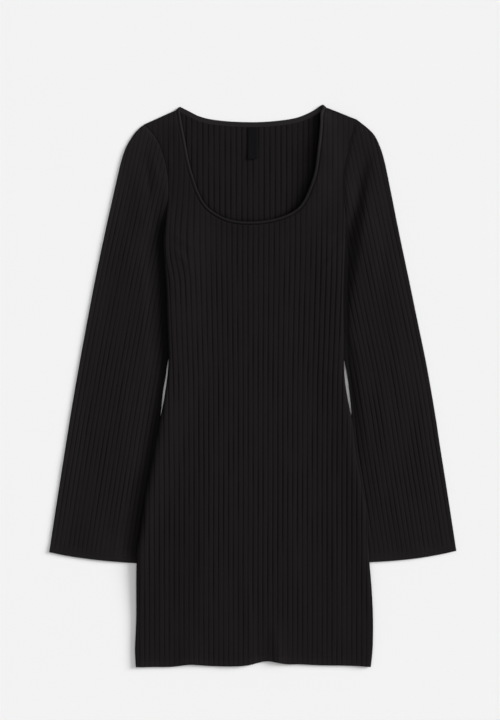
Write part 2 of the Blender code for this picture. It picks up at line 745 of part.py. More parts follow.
class Sleeve:
    """One set-in sleeve, a flattened tube that is open at the armhole and the cuff."""

    def __init__(self, side, name):
        self.side = side
        self.name = name
        self.column = "left" if side < 0 else "right"
        cap = [Vector((abs(point.x), point.y)) for point in armhole(side)]
        self.cap = shifted(cap, SEAM_GAP)

    def fold_x(self, y):
        """The x of the outer fold."""
        return along(SLEEVE_FOLDS, self.column, y)

    def seam_x(self, y):
        """The x of the underarm seam."""
        return along(UNDERARMS, self.column, y)

    def cuff_y(self, share):
        """The height of the cuff's edge, from the underarm seam at 0 to the fold at 1."""
        inner, outer = CUFF_INNER[self.side], CUFF_OUTER[self.side]
        return inner + (outer - inner) * share * share

    def cuff_point(self, share):
        """A point on the cuff's edge."""
        start = self.seam_x(CUFF_INNER[self.side])
        end = self.fold_x(CUFF_OUTER[self.side])
        return Vector((start + (end - start) * share, self.cuff_y(share)))

    def cuff_edge(self, x):
        """The height of the cuff's edge at an x."""
        start, end = self.cuff_point(0).x, self.cuff_point(1).x
        return self.cuff_y(min(1.0, max(0.0, (x - start) / (end - start))))

    @staticmethod
    def rib_start(y):
        """How far from the underarm seam the ribs end at a height."""
        grown = smoothstep((UNDERARM_Y - y) / STRIP_START)
        return EDGE_ROUND + (RIBS_FROM_SEAM - EDGE_ROUND) * grown

    def edges(self, inward):
        """The cuff, fold, cap and seam edges of a loop that turns to the left."""
        width = self.fold_x(-250) - self.seam_x(-250)
        near, rim = inward / width, (inward + EDGE_ROUND) / width
        middle = [rim + (1 - 2 * rim) * k / CUFF_STOPS for k in range(CUFF_STOPS + 1)]
        cuff = [self.cuff_point(share) for share in [near] + middle + [1 - near]]
        rows = heights(CUFF_OUTER[self.side], FOLD_STOPS[0], SLEEVE_STEP)[1:-1]
        fold = [Vector((self.fold_x(y), y)) for y in rows + list(FOLD_STOPS)]
        rows = heights(CUFF_INNER[self.side], UNDERARM_Y - 8, SLEEVE_STEP)[1:]
        seam = [Vector((self.seam_x(y), y)) for y in rows]
        length = sum((b - a).length for a, b in zip(self.cap, self.cap[1:]))
        cap = self.trimmed_cap(inward / length, (inward + EDGE_ROUND) / length)
        if inward:
            fold = shifted(fold, -inward)
            seam = shifted(seam, inward)
        return cuff, fold, cap[::-1], seam[::-1]

    def trimmed_cap(self, near, rim):
        """The cap's edge from the underarm up, cut short by a share at each end."""
        travelled = [0.0]
        for a, b in zip(self.cap, self.cap[1:]):
            travelled.append(travelled[-1] + (b - a).length)
        count = len(self.cap) - 1
        shares = [near] + [rim + (1 - 2 * rim) * k / count for k in range(count + 1)] + [1 - near]
        points = []
        for share in shares:
            goal = share * travelled[-1]
            n = max(k for k in range(count) if travelled[k] <= goal + 1e-9)
            part = (goal - travelled[n]) / (travelled[n + 1] - travelled[n])
            points.append(self.cap[n].lerp(self.cap[n + 1], part))
        return points

    def strip_drop(self, x, y):
        """How far the raised seam strip and its valley lie below the cloth beside them."""
        across = x - self.seam_x(y)
        low, high = STRIP_ENDS
        fade = smoothstep((y - low) / (high - low)) * smoothstep((UNDERARM_Y - y) / STRIP_START)
        stations = (Strip(0, 0.1),) + SEAM_STRIP + (Strip(RIBS_FROM_SEAM, 0),)
        for a, b in zip(stations, stations[1:]):
            if a.across <= across < b.across:
                share = (across - a.across) / (b.across - a.across)
                return fade * (a.drop + (b.drop - a.drop) * share)
        return 0.0

    def hollow_top(self, x, y):
        """The height of the upper layer's inside."""
        return WALL + HOLLOW + raised(SLEEVE_LOFTS, x, y)

    def pitch_x(self, share, y):
        """The x of a rib line, counted in ribs from the fold."""
        guide = self.fold_x(min(y, STRAIGHT_Y)) - RIB_SLANT * max(0.0, y - STRAIGHT_Y)
        return guide - share * SLEEVE_PITCH

    def build(self):
        """The tube's outside, hollow and both rims."""
        cuff, fold, cap, seam = self.edges(0)
        loop = cuff + fold + cap + seam
        distances = [EDGE_ROUND] * (len(cuff) + len(fold) + len(cap))
        ribbed = inset(loop, distances + [EDGE_ROUND] * len(seam))
        field = inset(loop, distances + [self.rib_start(point.y) for point in seam])

        def rows(share):
            edge = self.cuff_edge(self.pitch_x(share, CUFF_INNER[self.side]))
            up = (0, CUFF_DEPTH, CUFF_DEPTH + HEM_SLOPE, HEM_SETTLES * CUFF_DEPTH)
            hem = [edge + above for above in up]
            return hem + heights(CUFF_OUTER[self.side] + ROW_STEP, TOP_Y, ROW_STEP)

        shares = rib_shares(-2 * SLEEVE_PITCH, RIBBED_HALF, SLEEVE_PITCH)
        lines = rib_lines(self.pitch_x, shares, rows, field, self.hollow_top)
        for strip in SEAM_STRIP:
            lines.append([Vector((p.x + strip.across, p.y)) for p in seam[2:-1]])
        outside = Plan([loop], lines + [ribbed + ribbed[:1]])
        under = Plan([loop], [ribbed + ribbed[:1]])
        inner_edges = self.edges(TUBE_WALL)
        hollow_loop = [point for edge in inner_edges for point in edge]
        hollow = Plan([hollow_loop], points=self.hollow_points())
        counts = [len(cuff), len(fold), len(cap), len(seam)]
        shell = Shell(self.side)
        skins = self.outer_skins(shell, outside, under, counts)
        skins += self.hollow_skins(shell, hollow, counts)
        self.rims(shell, skins, counts)
        return shell.build(self.name, KNIT, KNIT_ROUGHNESS)

    def hollow_points(self):
        """Points inside the sleeve for its lofts."""
        points = []
        for y in HOLLOW_ROWS:
            low = self.seam_x(y) if y < UNDERARM_Y else self.cap_x(y)
            high = self.fold_x(y)
            points += [Vector((low + (high - low) * share, y)) for share in (0.25, 0.5, 0.75)]
        return points

    def cap_x(self, y):
        """The x of the cap's edge at a height."""
        return abs(side_x(self.side, y)) + SEAM_GAP

    @staticmethod
    def folded(counts):
        """The numbers of a loop's corners that lie on its two folded edges."""
        cuff, fold, cap, seam = counts
        total = cuff + fold + cap + seam
        return set(range(cuff - 1, cuff + fold + 1)) | set(range(cuff + fold + cap - 1, total)) | {0}

    def outer_skins(self, shell, outside, under, counts):
        """The ribbed upper skin and the flat lower one, which share their folded edges."""
        place = {n: k for k, n in enumerate(outside.loops[0])}
        flat_place = {n: k for k, n in enumerate(under.loops[0])}
        folded = self.folded(counts)

        def upper(n):
            x, y = outside.corners[n]
            level = self.hollow_top(x, y) + WALL + hem_step(y - self.cuff_edge(x), CUFF_DEPTH)
            if n in place:
                return TUBE_EDGE if place[n] in folded else level - EDGE_DROP
            if y < UNDERARM_Y and x < self.seam_x(y) + self.rib_start(y) - SHORTEST:
                return level + RIB - self.strip_drop(x, y)
            share = (self.pitch_x(0, y) - x) / SLEEVE_PITCH
            return level + rib_height(share, 1)

        def lower(n):
            return TUBE_EDGE if n in flat_place and flat_place[n] in folded else 0.0

        top = shell.skin(outside.corners, outside.faces, upper, up=True)
        bottom = shell.skin(under.corners, under.faces, lower, up=False)
        return [[top[n] for n in outside.loops[0]], [bottom[n] for n in under.loops[0]]]

    def hollow_skins(self, shell, hollow, counts):
        """The inside of both layers."""
        place = {n: k for k, n in enumerate(hollow.loops[0])}
        folded = self.folded(counts)
        middle = WALL + HOLLOW / 2

        def ceiling(n):
            return middle if place.get(n) in folded else self.hollow_top(*hollow.corners[n])

        def floor(n):
            return middle if place.get(n) in folded else WALL

        top = shell.skin(hollow.corners, hollow.faces, ceiling, up=False)
        bottom = shell.skin(hollow.corners, hollow.faces, floor, up=True)
        return [[top[n] for n in hollow.loops[0]], [bottom[n] for n in hollow.loops[0]]]

    @staticmethod
    def rims(shell, skins, counts):
        """The cloth's edge round the cuff and round the armhole."""
        upper, lower, ceiling, floor = skins
        cuff, fold, cap, _ = counts
        for first, last in ((0, cuff), (cuff + fold, cuff + fold + cap)):
            shell.wall(ceiling[first:last], upper[first:last], closed=False)
            shell.wall(lower[first:last], floor[first:last], closed=False)


# The neck binding.


def band_section(shell, place, way, width, thickness, heights_of):
    """One section of the binding: way points across it, heights_of gives each point's height."""
    ring = []
    for across, through in BAND_PROFILE:
        point = place + way * (width * across)
        ring.append(shell.corner(point, heights_of(point, thickness * through)))
    return ring


def fold_sections(shell, side, front_base, back_base):
    """The sections that turn the binding over at a neck point, from the front down to the back."""
    neck = NECK_POINTS[side]
    start = Vector((side * neck.x, neck.y))
    way = shoulder(side)[1]
    outward = to_the_right(way) * -side
    high = front_base + FRONT_BAND[1] / 2
    low = back_base + BACK_BAND[1] / 2
    centre, radius = (high + low) / 2, (high - low) / 2
    sections = []
    for k in range(FOLD_TURNS + 1):
        angle = pi * k / FOLD_TURNS
        share = k / FOLD_TURNS
        thickness = FRONT_BAND[1] * (1 - share) + BACK_BAND[1] * share
        ring = []
        for across, through in BAND_PROFILE:
            arm = radius + thickness * (through - 0.5)
            point = start + way * (BAND_MITRE * across) + outward * (arm * sin(angle))
            ring.append(shell.corner(point, centre + arm * cos(angle)))
        sections.append(ring)
    return sections


def front_band_base(point):
    """The height of the binding's underside on the front, clear of the back binding below it."""
    low, high = BAND_LIFTS
    near_top = smoothstep((point.y - low) / (high - low))
    clear = BACK_BAND[1] + 2 * SEAM_GAP
    level = front_underside(point.x, point.y)
    return max(level, level * (1 - near_top) + clear * near_top)


def neck_band():
    """The binding as one closed ring."""
    shell = Shell()
    front, back = front_edge(), back_edge()
    width, thickness = FRONT_BAND
    rings = []
    front_ends = {side: front_band_base(neck_corner(side)) for side in (-1, 1)}

    def front_height(point, through):
        return front_band_base(point) + through

    def back_height(_, through):
        return BACK_BAND[1] - through

    rings += fold_sections(shell, -1, front_ends[-1], 0.0)[::-1]
    outer = shifted(front, 1.0)
    for place, beside in zip(front[1:-1], outer[1:-1]):
        rings.append(band_section(shell, place, beside - place, width, thickness, front_height))
    rings += fold_sections(shell, 1, front_ends[1], 0.0)
    width, thickness = BACK_BAND
    outer = shifted(back, -1.0)
    for place, beside in zip(back[1:-1], outer[1:-1]):
        rings.append(band_section(shell, place, beside - place, width, thickness, back_height))
    for n, ring in enumerate(rings):
        shell.wall(ring, rings[n - 1], closed=True)
    return shell.build("neck_band", BINDING, KNIT_ROUGHNESS)


def label():
    """A bare strip of satin that hangs from the back binding, its free end standing up a little."""
    shell = Shell()
    half = LABEL_WIDTH / 2
    rings = []
    for k in range(LABEL_ROWS + 1):
        share = k / LABEL_ROWS
        y = LABEL_TOP - LABEL_LENGTH * share
        base = WALL + SEAM_GAP + LABEL_CURL * share * share
        ring = [shell.corner(Vector((x, y)), base) for x in (-half, half)]
        ring += [shell.corner(Vector((x, y)), base + LABEL_THICK) for x in (half, -half)]
        rings.append(ring)
    for above, below in zip(rings, rings[1:]):
        shell.wall(above, below, closed=True)
    shell.face(rings[0][::-1])
    shell.face(rings[-1])
    return shell.build("label", SATIN, SATIN_ROUGHNESS)


def main():
    """Builds every piece."""
    for old in list(bpy.data.objects):
        bpy.data.objects.remove(old, do_unlink=True)
    body()
    Sleeve(-1, "sleeve_left").build()
    Sleeve(1, "sleeve_right").build()
    neck_band()
    label()


main()
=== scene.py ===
"""The looks of a long-sleeved rib-knit dress that lies flat, face up, on a pale floor.

Every piece of cloth is a thin shell on the form of the solid that it stands for. Its ribs, seams,
turned hems and creases are in the mesh, and its stitches in the material. Outlines are read from
the frame. X runs across the dress, Y from its hem to its neck and Z up from the floor. Sizes are
in millimetres until a mesh is made.
"""

import logging
import math
from bisect import bisect_right
from collections.abc import Callable, Iterable, Sequence
from dataclasses import dataclass, field
from enum import Enum
from typing import NamedTuple

import bmesh
import bpy
from mathutils import Matrix, Vector, noise
from mathutils.geometry import delaunay_2d_cdt, intersect_point_line
from mathutils.kdtree import KDTree


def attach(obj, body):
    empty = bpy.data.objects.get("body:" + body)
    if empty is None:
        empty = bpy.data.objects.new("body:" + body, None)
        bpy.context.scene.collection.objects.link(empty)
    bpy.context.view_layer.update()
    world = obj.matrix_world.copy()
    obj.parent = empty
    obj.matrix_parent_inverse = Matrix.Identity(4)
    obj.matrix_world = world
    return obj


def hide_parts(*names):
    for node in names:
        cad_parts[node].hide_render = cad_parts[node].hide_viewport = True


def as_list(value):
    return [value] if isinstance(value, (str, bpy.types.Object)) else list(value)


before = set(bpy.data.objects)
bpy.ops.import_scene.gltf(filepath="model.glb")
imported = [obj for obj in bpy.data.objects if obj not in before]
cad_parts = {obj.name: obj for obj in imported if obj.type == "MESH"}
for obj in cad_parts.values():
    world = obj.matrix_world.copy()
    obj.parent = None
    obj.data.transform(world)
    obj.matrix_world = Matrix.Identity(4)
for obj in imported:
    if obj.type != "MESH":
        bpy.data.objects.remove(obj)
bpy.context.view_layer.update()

log = logging.getLogger("dress")

MM = 0.001
WEAVE = "weave"  # the UV map that runs across and along the knit, in metres
RIB = "rib"  # the attribute that picks the knit's shading colour: 1 on a rib, 0 in a groove with painted shade, and -1 for the painted shade deep in a fold
PAINTED_LIGHT = "pale"  # the attribute that is 1 where painted light makes the cloth paler, at its outer edges
HEM_Y = -420.5  # where the tables along the dress start
TOP_Y = 422.0  # and where they end

Height = Callable[[float, float], float]
Colour = tuple[float, float, float, float]
Pair = tuple[float, float]


# Numbers and curves.


def smoothstep(share: float) -> float:
    """0 below 0, 1 above 1, and a soft step between."""
    share = min(1.0, max(0.0, share))
    return share * share * (3 - 2 * share)


def bell(distance: float) -> float:
    """1 at 0, falling softly to 0 at a distance of about 2 either way."""
    return math.exp(-distance * distance)


def mixed(start: float, end: float, share: float) -> float:
    """The value between two others at a share of the way."""
    return start + (end - start) * share


@dataclass(frozen=True)
class Ramp:
    """A soft step from 0 to 1 that begins at a place and takes a distance."""

    start: float
    length: float

    def __call__(self, place: float) -> float:
        """The step's value at a place."""
        return smoothstep((place - self.start) / self.length)


@dataclass(frozen=True)
class Spot:
    """A place and a reach each way, round which something fades."""

    x: float
    y: float
    reach_x: float
    reach_y: float

    def nearness(self, x: float, y: float) -> float:
        """1 at the place, falling softly to 0 at about twice the reach."""
        return bell(math.hypot((x - self.x) / self.reach_x, (y - self.y) / self.reach_y))


class Guide:
    """A smooth curve through the values that a few places have."""

    def __init__(self, rows: Iterable[tuple[float, float]]) -> None:
        """Sorts the rows and works out the curve's slopes.

        Args:
            rows: Pairs of a place and the value there.
        """
        ordered = sorted(rows)
        self.keys = [key for key, _ in ordered]
        self.values = [value for _, value in ordered]
        last = len(ordered) - 1
        self.slopes = []
        for n in range(last + 1):
            low, high = max(0, n - 1), min(last, n + 1)
            rise = self.values[high] - self.values[low]
            self.slopes.append(rise / (self.keys[high] - self.keys[low]))

    def __call__(self, key: float) -> float:
        """The value at a place, held at both ends.

        Args:
            key: The place.

        Returns:
            The curve's value there.
        """
        n = min(len(self.keys) - 2, max(0, bisect_right(self.keys, key) - 1))
        span = self.keys[n + 1] - self.keys[n]
        t = min(1.0, max(0.0, (key - self.keys[n]) / span))
        bend = t * (1 - t) * ((1 - t) * self.slopes[n] - t * self.slopes[n + 1]) * span
        return mixed(self.values[n], self.values[n + 1], t * t * (3 - 2 * t)) + bend


def spaced(points: Sequence[Vector], step: float) -> list[Vector]:
    """Points about a step apart on a smooth curve through others.

    Args:
        points: The points that the curve passes through.
        step: The distance between the new points.

    Returns:
        The new points, both ends kept.
    """
    travelled = [0.0]
    for a, b in zip(points, points[1:]):
        travelled.append(travelled[-1] + (b - a).length)
    across = Guide(zip(travelled, [point.x for point in points]))
    along = Guide(zip(travelled, [point.y for point in points]))
    count = max(1, round(travelled[-1] / step))
    places = [travelled[-1] * k / count for k in range(count + 1)]
    return [Vector((across(place), along(place))) for place in places]


def right_of(way: Vector) -> Vector:
    """The unit vector at a right angle to a direction, on its right-hand side."""
    return Vector((way.y, -way.x)).normalized()


def shifted(path: Sequence[Vector], distance: float) -> list[Vector]:
    """An open path moved to its right-hand side.

    Args:
        path: The path's points.
        distance: How far they move, to the left where it is below zero.

    Returns:
        The moved points.
    """
    last = len(path) - 1
    moved = []
    for n, point in enumerate(path):
        way = path[min(last, n + 1)] - path[max(0, n - 1)]
        moved.append(point + right_of(way) * distance)
    return moved


def inset(loop: Sequence[Vector], distance: float) -> list[Vector]:
    """A loop that turns to the left, moved inward.

    Args:
        loop: The loop's points.
        distance: How far its edge moves, outward where it is below zero.

    Returns:
        The moved points.
    """
    moved = []
    for n, point in enumerate(loop):
        into = right_of(point - loop[n - 1])
        out = right_of(loop[(n + 1) % len(loop)] - point)
        inward = -(into + out).normalized()
        moved.append(point + inward * distance / max(0.6, -inward.dot(into)))
    return moved


def loop_area(loop: Sequence[Vector]) -> float:
    """The area in a loop, above zero where it turns to the left."""
    return sum(loop[n - 1].cross(point) for n, point in enumerate(loop)) / 2


# What the frame says.


class Finish(Enum):
    """How a stretch of a layer's border is finished. The value is how far it is turned under."""

    SEWN = 0.0
    TURNED = 1.0


@dataclass(frozen=True)
class Nudge:
    """A small shift of the cloth's edges about a place, as the dress came to lie."""

    x: float
    y: float
    across: float
    along: float
    reach_x: float
    reach_y: float

    def shift(self, place: Vector) -> Vector:
        """How far it moves an edge at a place."""
        spot = Spot(self.x, self.y, self.reach_x, self.reach_y)
        return Vector((self.across, self.along)) * spot.nearness(place.x, place.y)


class Outline:
    """The outer edge of a node from above: smooth stretches between its corners."""

    step = 4.0
    sample_step = 0.8
    corner_turn = math.radians(45)
    finish_blend = 7.0
    close_range = 8.0
    seam_reach = 0.17
    halvings = 7
    nudges = (
        Nudge(137, 407, 0.0, 3.1, 28, 28),
        Nudge(128, 404, 0.0, 3.0, 18, 24),
        Nudge(136, 402, 0.0, 1.4, 11, 14),
        Nudge(106, 414, 0.0, -0.9, 11, 14),
        Nudge(-132, 408, 0.0, 2.1, 10, 14),
        Nudge(-98, 414, 0.0, 2.1, 9, 12),
        Nudge(-178, 381, 1.0, -1.4, 12, 14),
        Nudge(-200, 260, 1.1, 0.0, 40, 110),
        Nudge(-262, -60, 1.1, 0.0, 50, 170),
        Nudge(-177, -340, 1.4, 0.0, 30, 80),
        Nudge(100, 345, -1.7, 0.0, 24, 38),
        Nudge(100, 362, -1.3, 0.0, 24, 34),
        Nudge(-105, 358, 1.0, 0.0, 16, 18),
        Nudge(0, 252, 0.0, -2.6, 75, 26),
        Nudge(68, 272, 1.7, -1.7, 22, 22),
        Nudge(-70, 275, -1.5, -1.2, 20, 20),
        Nudge(239, 34, 0.9, 0.0, 30, 45),
        Nudge(262, -95, -0.6, 0.0, 30, 30),
        Nudge(173, -418, -0.7, 0.0, 14, 20),
        Nudge(138, 150, -1.8, 0.0, 26, 110),
        Nudge(-131, 145, 1.2, 0.0, 18, 34),
        Nudge(20, -418, 0.0, 1.9, 150, 20),
        Nudge(-70, -418, 0.0, 0.9, 16, 20),
        Nudge(-2, -418, 0.0, 1.5, 11, 20),
        Nudge(42, -418, 0.0, 1.2, 12, 20),
        Nudge(150, -418, 0.0, 0.9, 16, 20),
        Nudge(-235, -262, 0.0, 1.2, 45, 30),
        Nudge(-203, -264, 0.0, 0.6, 22, 30),
        Nudge(205, -260, 0.0, 0.8, 40, 30),
        Nudge(300, -248, 0.0, -0.6, 20, 30),
    )

    def __init__(self, node: str, finishes: Sequence[Finish], side: int = 1) -> None:
        """Reads the edge, from its lowest corner on the left round to the left.

        Args:
            node: The node's name.
            finishes: The finish of each stretch, in order.
            side: -1 mirrors the outline across the middle line.
        """
        raw = self.read(node, side)
        corners = [n for n in range(len(raw)) if self.turn(raw, n) > self.corner_turn]
        first = min(corners, key=lambda n: (round(raw[n].y), raw[n].x))
        raw = raw[first:] + raw[:first]
        ends = sorted((n - first) % len(raw) for n in corners) + [len(raw)]
        if len(ends) - 1 != len(finishes):
            raise ValueError(f"{node} has {len(ends) - 1} corners, and not {len(finishes)}")
        raw.append(raw[0])
        self.stretches = [spaced(raw[a : b + 1], self.step) for a, b in zip(ends, ends[1:])]
        self.points: list[Vector] = []
        self.finishes: list[Finish] = []
        for stretch, finish in zip(self.stretches, finishes):
            self.points += stretch[:-1]
            self.finishes += [finish] * (len(stretch) - 1)
        reaching = inset(self.points, -self.seam_reach)
        for n, finish in enumerate(self.finishes):
            if finish is Finish.SEWN:
                self.points[n] = reaching[n]
        self.plant()

    def move(self, shift: Callable[[Vector], float]) -> None:
        """Moves the edge across by a distance that depends on the place."""
        self.points = [Vector((point.x + shift(point), point.y)) for point in self.points]
        self.plant()

    @staticmethod
    def turn(loop: Sequence[Vector], n: int) -> float:
        """How far a loop turns at one of its points."""
        into = loop[n] - loop[n - 1]
        return abs(into.angle_signed(loop[(n + 1) % len(loop)] - loop[n]))

    @classmethod
    def settled(cls, place: Vector) -> Vector:
        """A place on an edge after the edges' small shifts."""
        return place + sum((nudge.shift(place) for nudge in cls.nudges), Vector((0, 0)))

    @classmethod
    def read(cls, node: str, side: int) -> list[Vector]:
        """The largest loop between a node's faces that look down and the others.

        Args:
            node: The node's name.
            side: -1 mirrors the loop across the middle line.

        Returns:
            The loop's points, turning to the left.
        """
        downward = -0.2
        solid = bmesh.new()
        solid.from_mesh(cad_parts[node].data)
        bmesh.ops.remove_doubles(solid, verts=solid.verts, dist=1e-6)
        beside: dict[bmesh.types.BMVert, list[bmesh.types.BMVert]] = {}
        for edge in solid.edges:
            if len({face.normal.z < downward for face in edge.link_faces}) == 2:
                for near, far in (edge.verts, reversed(edge.verts)):
                    beside.setdefault(near, []).append(far)
        best: list[Vector] = []
        while beside:
            corner = next(iter(beside))
            loop = []
            while corner in beside:
                place = cls.settled(corner.co.xy / MM)
                loop.append(Vector((place.x * side, place.y)))
                ahead = [other for other in beside.pop(corner) if other in beside]
                corner = ahead[0] if ahead else None
            if abs(loop_area(loop)) > abs(loop_area(best)):
                best = loop
        solid.free()
        return best if loop_area(best) > 0 else best[::-1]

    def plant(self) -> None:
        """Puts closely spaced samples of the edge in a tree, for distances to it."""
        samples = []
        for n, start in enumerate(self.points):
            end = self.points[(n + 1) % len(self.points)]
            count = math.ceil((end - start).length / self.sample_step)
            samples += [(start.lerp(end, (k + 0.5) / count), n) for k in range(count)]
        self.tree = KDTree(len(samples))
        for n, (place, _) in enumerate(samples):
            self.tree.insert((place.x, place.y, 0.0), n)
        self.tree.balance()
        self.segments = [segment for _, segment in samples]
        reach = round(self.finish_blend / self.step)
        count = len(self.points)
        self.turned = []
        for n in range(count):
            near = [self.finishes[(n + k) % count].value for k in range(-reach, reach + 1)]
            self.turned.append(sum(near) / len(near))

    def depth(self, x: float, y: float) -> tuple[float, float]:
        """How far inside the edge a place lies.

        Args:
            x: The place across.
            y: The place along.

        Returns:
            The distance, below zero outside, and how far the nearest edge is turned under.
        """
        _, index, away = self.tree.find((x, y, 0.0))
        middle = self.segments[index]
        place = Vector((x, y))
        nearest, sign, turned = math.inf, 1.0, 0.0
        for shift in (-1, 0, 1) if away < self.close_range else (0,):
            n = (middle + shift) % len(self.points)
            start, end = self.points[n], self.points[(n + 1) % len(self.points)]
            share = intersect_point_line(place, start, end)[1]
            hit = start.lerp(end, min(1.0, max(0.0, share)))
            gap = (place - hit).length
            if gap < nearest:
                inward = -right_of(end - start).dot(place - hit)
                nearest, sign, turned = gap, 1.0 if inward >= 0 else -1.0, self.turned[n]
        return nearest * sign, turned

    def inside(self, line: Sequence[Vector], margin: float) -> list[list[Vector]]:
        """The stretches of a line that lie inside the edge.

        Args:
            line: The line's points.
            margin: How far inside they stay.

        Returns:
            The stretches, each ending a margin from the edge.
        """
        kept = [self.depth(*point)[0] > margin for point in line]
        stretches: list[list[Vector]] = []
        for n, point in enumerate(line):
            if n and kept[n] != kept[n - 1]:
                low, high = (line[n - 1], point) if kept[n] else (point, line[n - 1])
                for _ in range(self.halvings):
                    middle = (low + high) / 2
                    if self.depth(*middle)[0] > margin:
                        high = middle
                    else:
                        low = middle
                if kept[n]:
                    stretches.append([high])
                else:
                    stretches[-1].append(high)
            elif kept[n] and n == 0:
                stretches.append([])
            if kept[n]:
                stretches[-1].append(point)
        return [stretch for stretch in stretches if len(stretch) > 1]


# Knit cloth.


@dataclass(frozen=True)
class Crease:
    """A soft ridge between two places, or a trough where its height is below zero."""

    start: tuple[float, float]
    end: tuple[float, float]
    width: float
    height: float
    bow: float = 0.0

    reach = 2.4  # widths either side
    taper = 1.5  # how softly its ends die out

    def rise(self, x: float, y: float) -> float:
        """How much it lifts the cloth.

        Args:
            x: The place across.
            y: The place along.

        Returns:
            The lift there, below zero in a trough.
        """
        along_x, along_y = self.end[0] - self.start[0], self.end[1] - self.start[1]
        length = math.hypot(along_x, along_y)
        from_x, from_y = x - self.start[0], y - self.start[1]
        share = (from_x * along_x + from_y * along_y) / (length * length)
        if not 0 < share < 1:
            return 0.0
        across = (from_x * along_y - from_y * along_x) / length
        across -= self.bow * 4 * share * (1 - share)
        if abs(across) > self.reach * self.width:
            return 0.0
        return self.height * bell(across / self.width) * math.sin(math.pi * share) ** self.taper


@dataclass(frozen=True)
class Loft:
    """A low round swelling of the cloth."""

    x: float
    y: float
    height: float
    reach_x: float
    reach_y: float

    def rise(self, x: float, y: float) -> float:
        """How much it lifts the cloth at a place."""
        away = math.hypot((x - self.x) / self.reach_x, (y - self.y) / self.reach_y)
        return self.height * (1 - smoothstep(away))


def lifted(forms: Iterable[Crease | Loft], x: float, y: float) -> float:
    """How much several forms lift the cloth at a place."""
    return sum(form.rise(x, y) for form in forms)


def uneven(x: float, y: float, size: float, seed: float) -> float:
    """A smooth chance value between about -1 and 1 that changes over a size."""
    return noise.noise(Vector((x / size, y / size, seed)))


@dataclass(frozen=True)
class Turning:
    """A turned hem: thicker cloth as far as its raw edge, and stitches that pull furrows into it."""

    depth: float
    rows: tuple[float, ...]
    step: float = 0.4
    slope: float = 2.0
    furrow: float = 0.3
    furrow_width: float = 0.7

    def rise(self, above: float) -> float:
        """How much it thickens the cloth at a distance from its edge."""
        step = self.step * (1 - smoothstep((above - self.depth) / self.slope))
        return step - self.furrow * sum(bell((above - row) / self.furrow_width) for row in self.rows)


@dataclass
class Ribbing:
    """Ribs side by side, with a V-shaped groove between them."""

    centre: Callable[[float], float]
    pitch: Callable[[float], float]
    first: int
    last: int
    rows: Callable[[float], list[float]]
    strength: Height
    depth: float = 0.6
    direction: int = 1
    offset: float = 0.0
    wander: float = 0.34
    variation: float = 0.7
    seed: float = 0.0
    drawn: Height | None = None

    stations = (-0.36, -0.24, -0.16, -0.08, 0.0, 0.08, 0.16, 0.24, 0.36, 0.5)
    profile = Guide([(0, 0.0), (0.06, 0.12), (0.13, 0.5), (0.2, 0.84), (0.28, 1.0), (0.5, 0.92)])
    wander_size = (60, 85)
    variation_size = 52
    deepest = 1.2
    settling = 3

    def drift(self, x: float, y: float) -> float:
        """How far the ribs leave their straight course at a place."""
        drawn = self.drawn(x, y) if self.drawn else 0.0
        across, along = self.wander_size
        return drawn + self.wander * noise.noise(Vector((x / across, y / along, self.seed)))

    def share(self, x: float, y: float) -> float:
        """The place across the ribs, counted in pitches, with a groove at each whole number."""
        across = (x - self.drift(x, y) - self.centre(y)) * self.direction
        return across / self.pitch(y) - self.offset

    def lines(self) -> list[list[Vector]]:
        """The lines along the ribs that their form needs.

        Returns:
            A line for each station of each rib, along the ribs as they wander.
        """
        made = []
        for n in range(self.first, self.last):
            for station in self.stations:
                share = (n + station + self.offset) * self.direction
                start = self.centre(0) + share * self.pitch(0)
                line = []
                for y in self.rows(start):
                    x = straight = self.centre(y) + share * self.pitch(y)
                    for _ in range(self.settling):
                        x = straight + self.drift(x, y)
                    line.append(Vector((x, y)))
                made.append(line)
        return made

    def openness(self, x: float, y: float) -> float:
        """How open the groove is: less where the ribs fade, and a little by chance.

        Args:
            x: The place across.
            y: The place along.

        Returns:
            1 at the bottom of a groove of usual depth and 0 on a rib.
        """
        share = self.share(x, y)
        groove = round(share)
        place = Vector((groove * 0.73, y / self.variation_size, self.seed + 8))
        depth = self.strength(x, y) * (1 + self.variation * noise.noise(place))
        return (1 - self.profile(abs(share - groove))) * min(self.deepest, max(0.0, depth))


@dataclass
class Skin:
    """One side of a layer of cloth: its height, its ribs and how it is divided."""

    height: Height
    ribbing: Ribbing | None = None
    bulge: int = 1
    places: list[Vector] = field(default_factory=list)
    rounding: float = 2.0

    def level(self, x: float, y: float) -> float:
        """The height of the skin away from its border, ribs included.

        Args:
            x: The place across.
            y: The place along.

        Returns:
            The height, in millimetres.
        """
        level = self.height(x, y)
        if self.ribbing:
            level -= self.bulge * self.ribbing.depth * self.ribbing.openness(x, y)
        return level


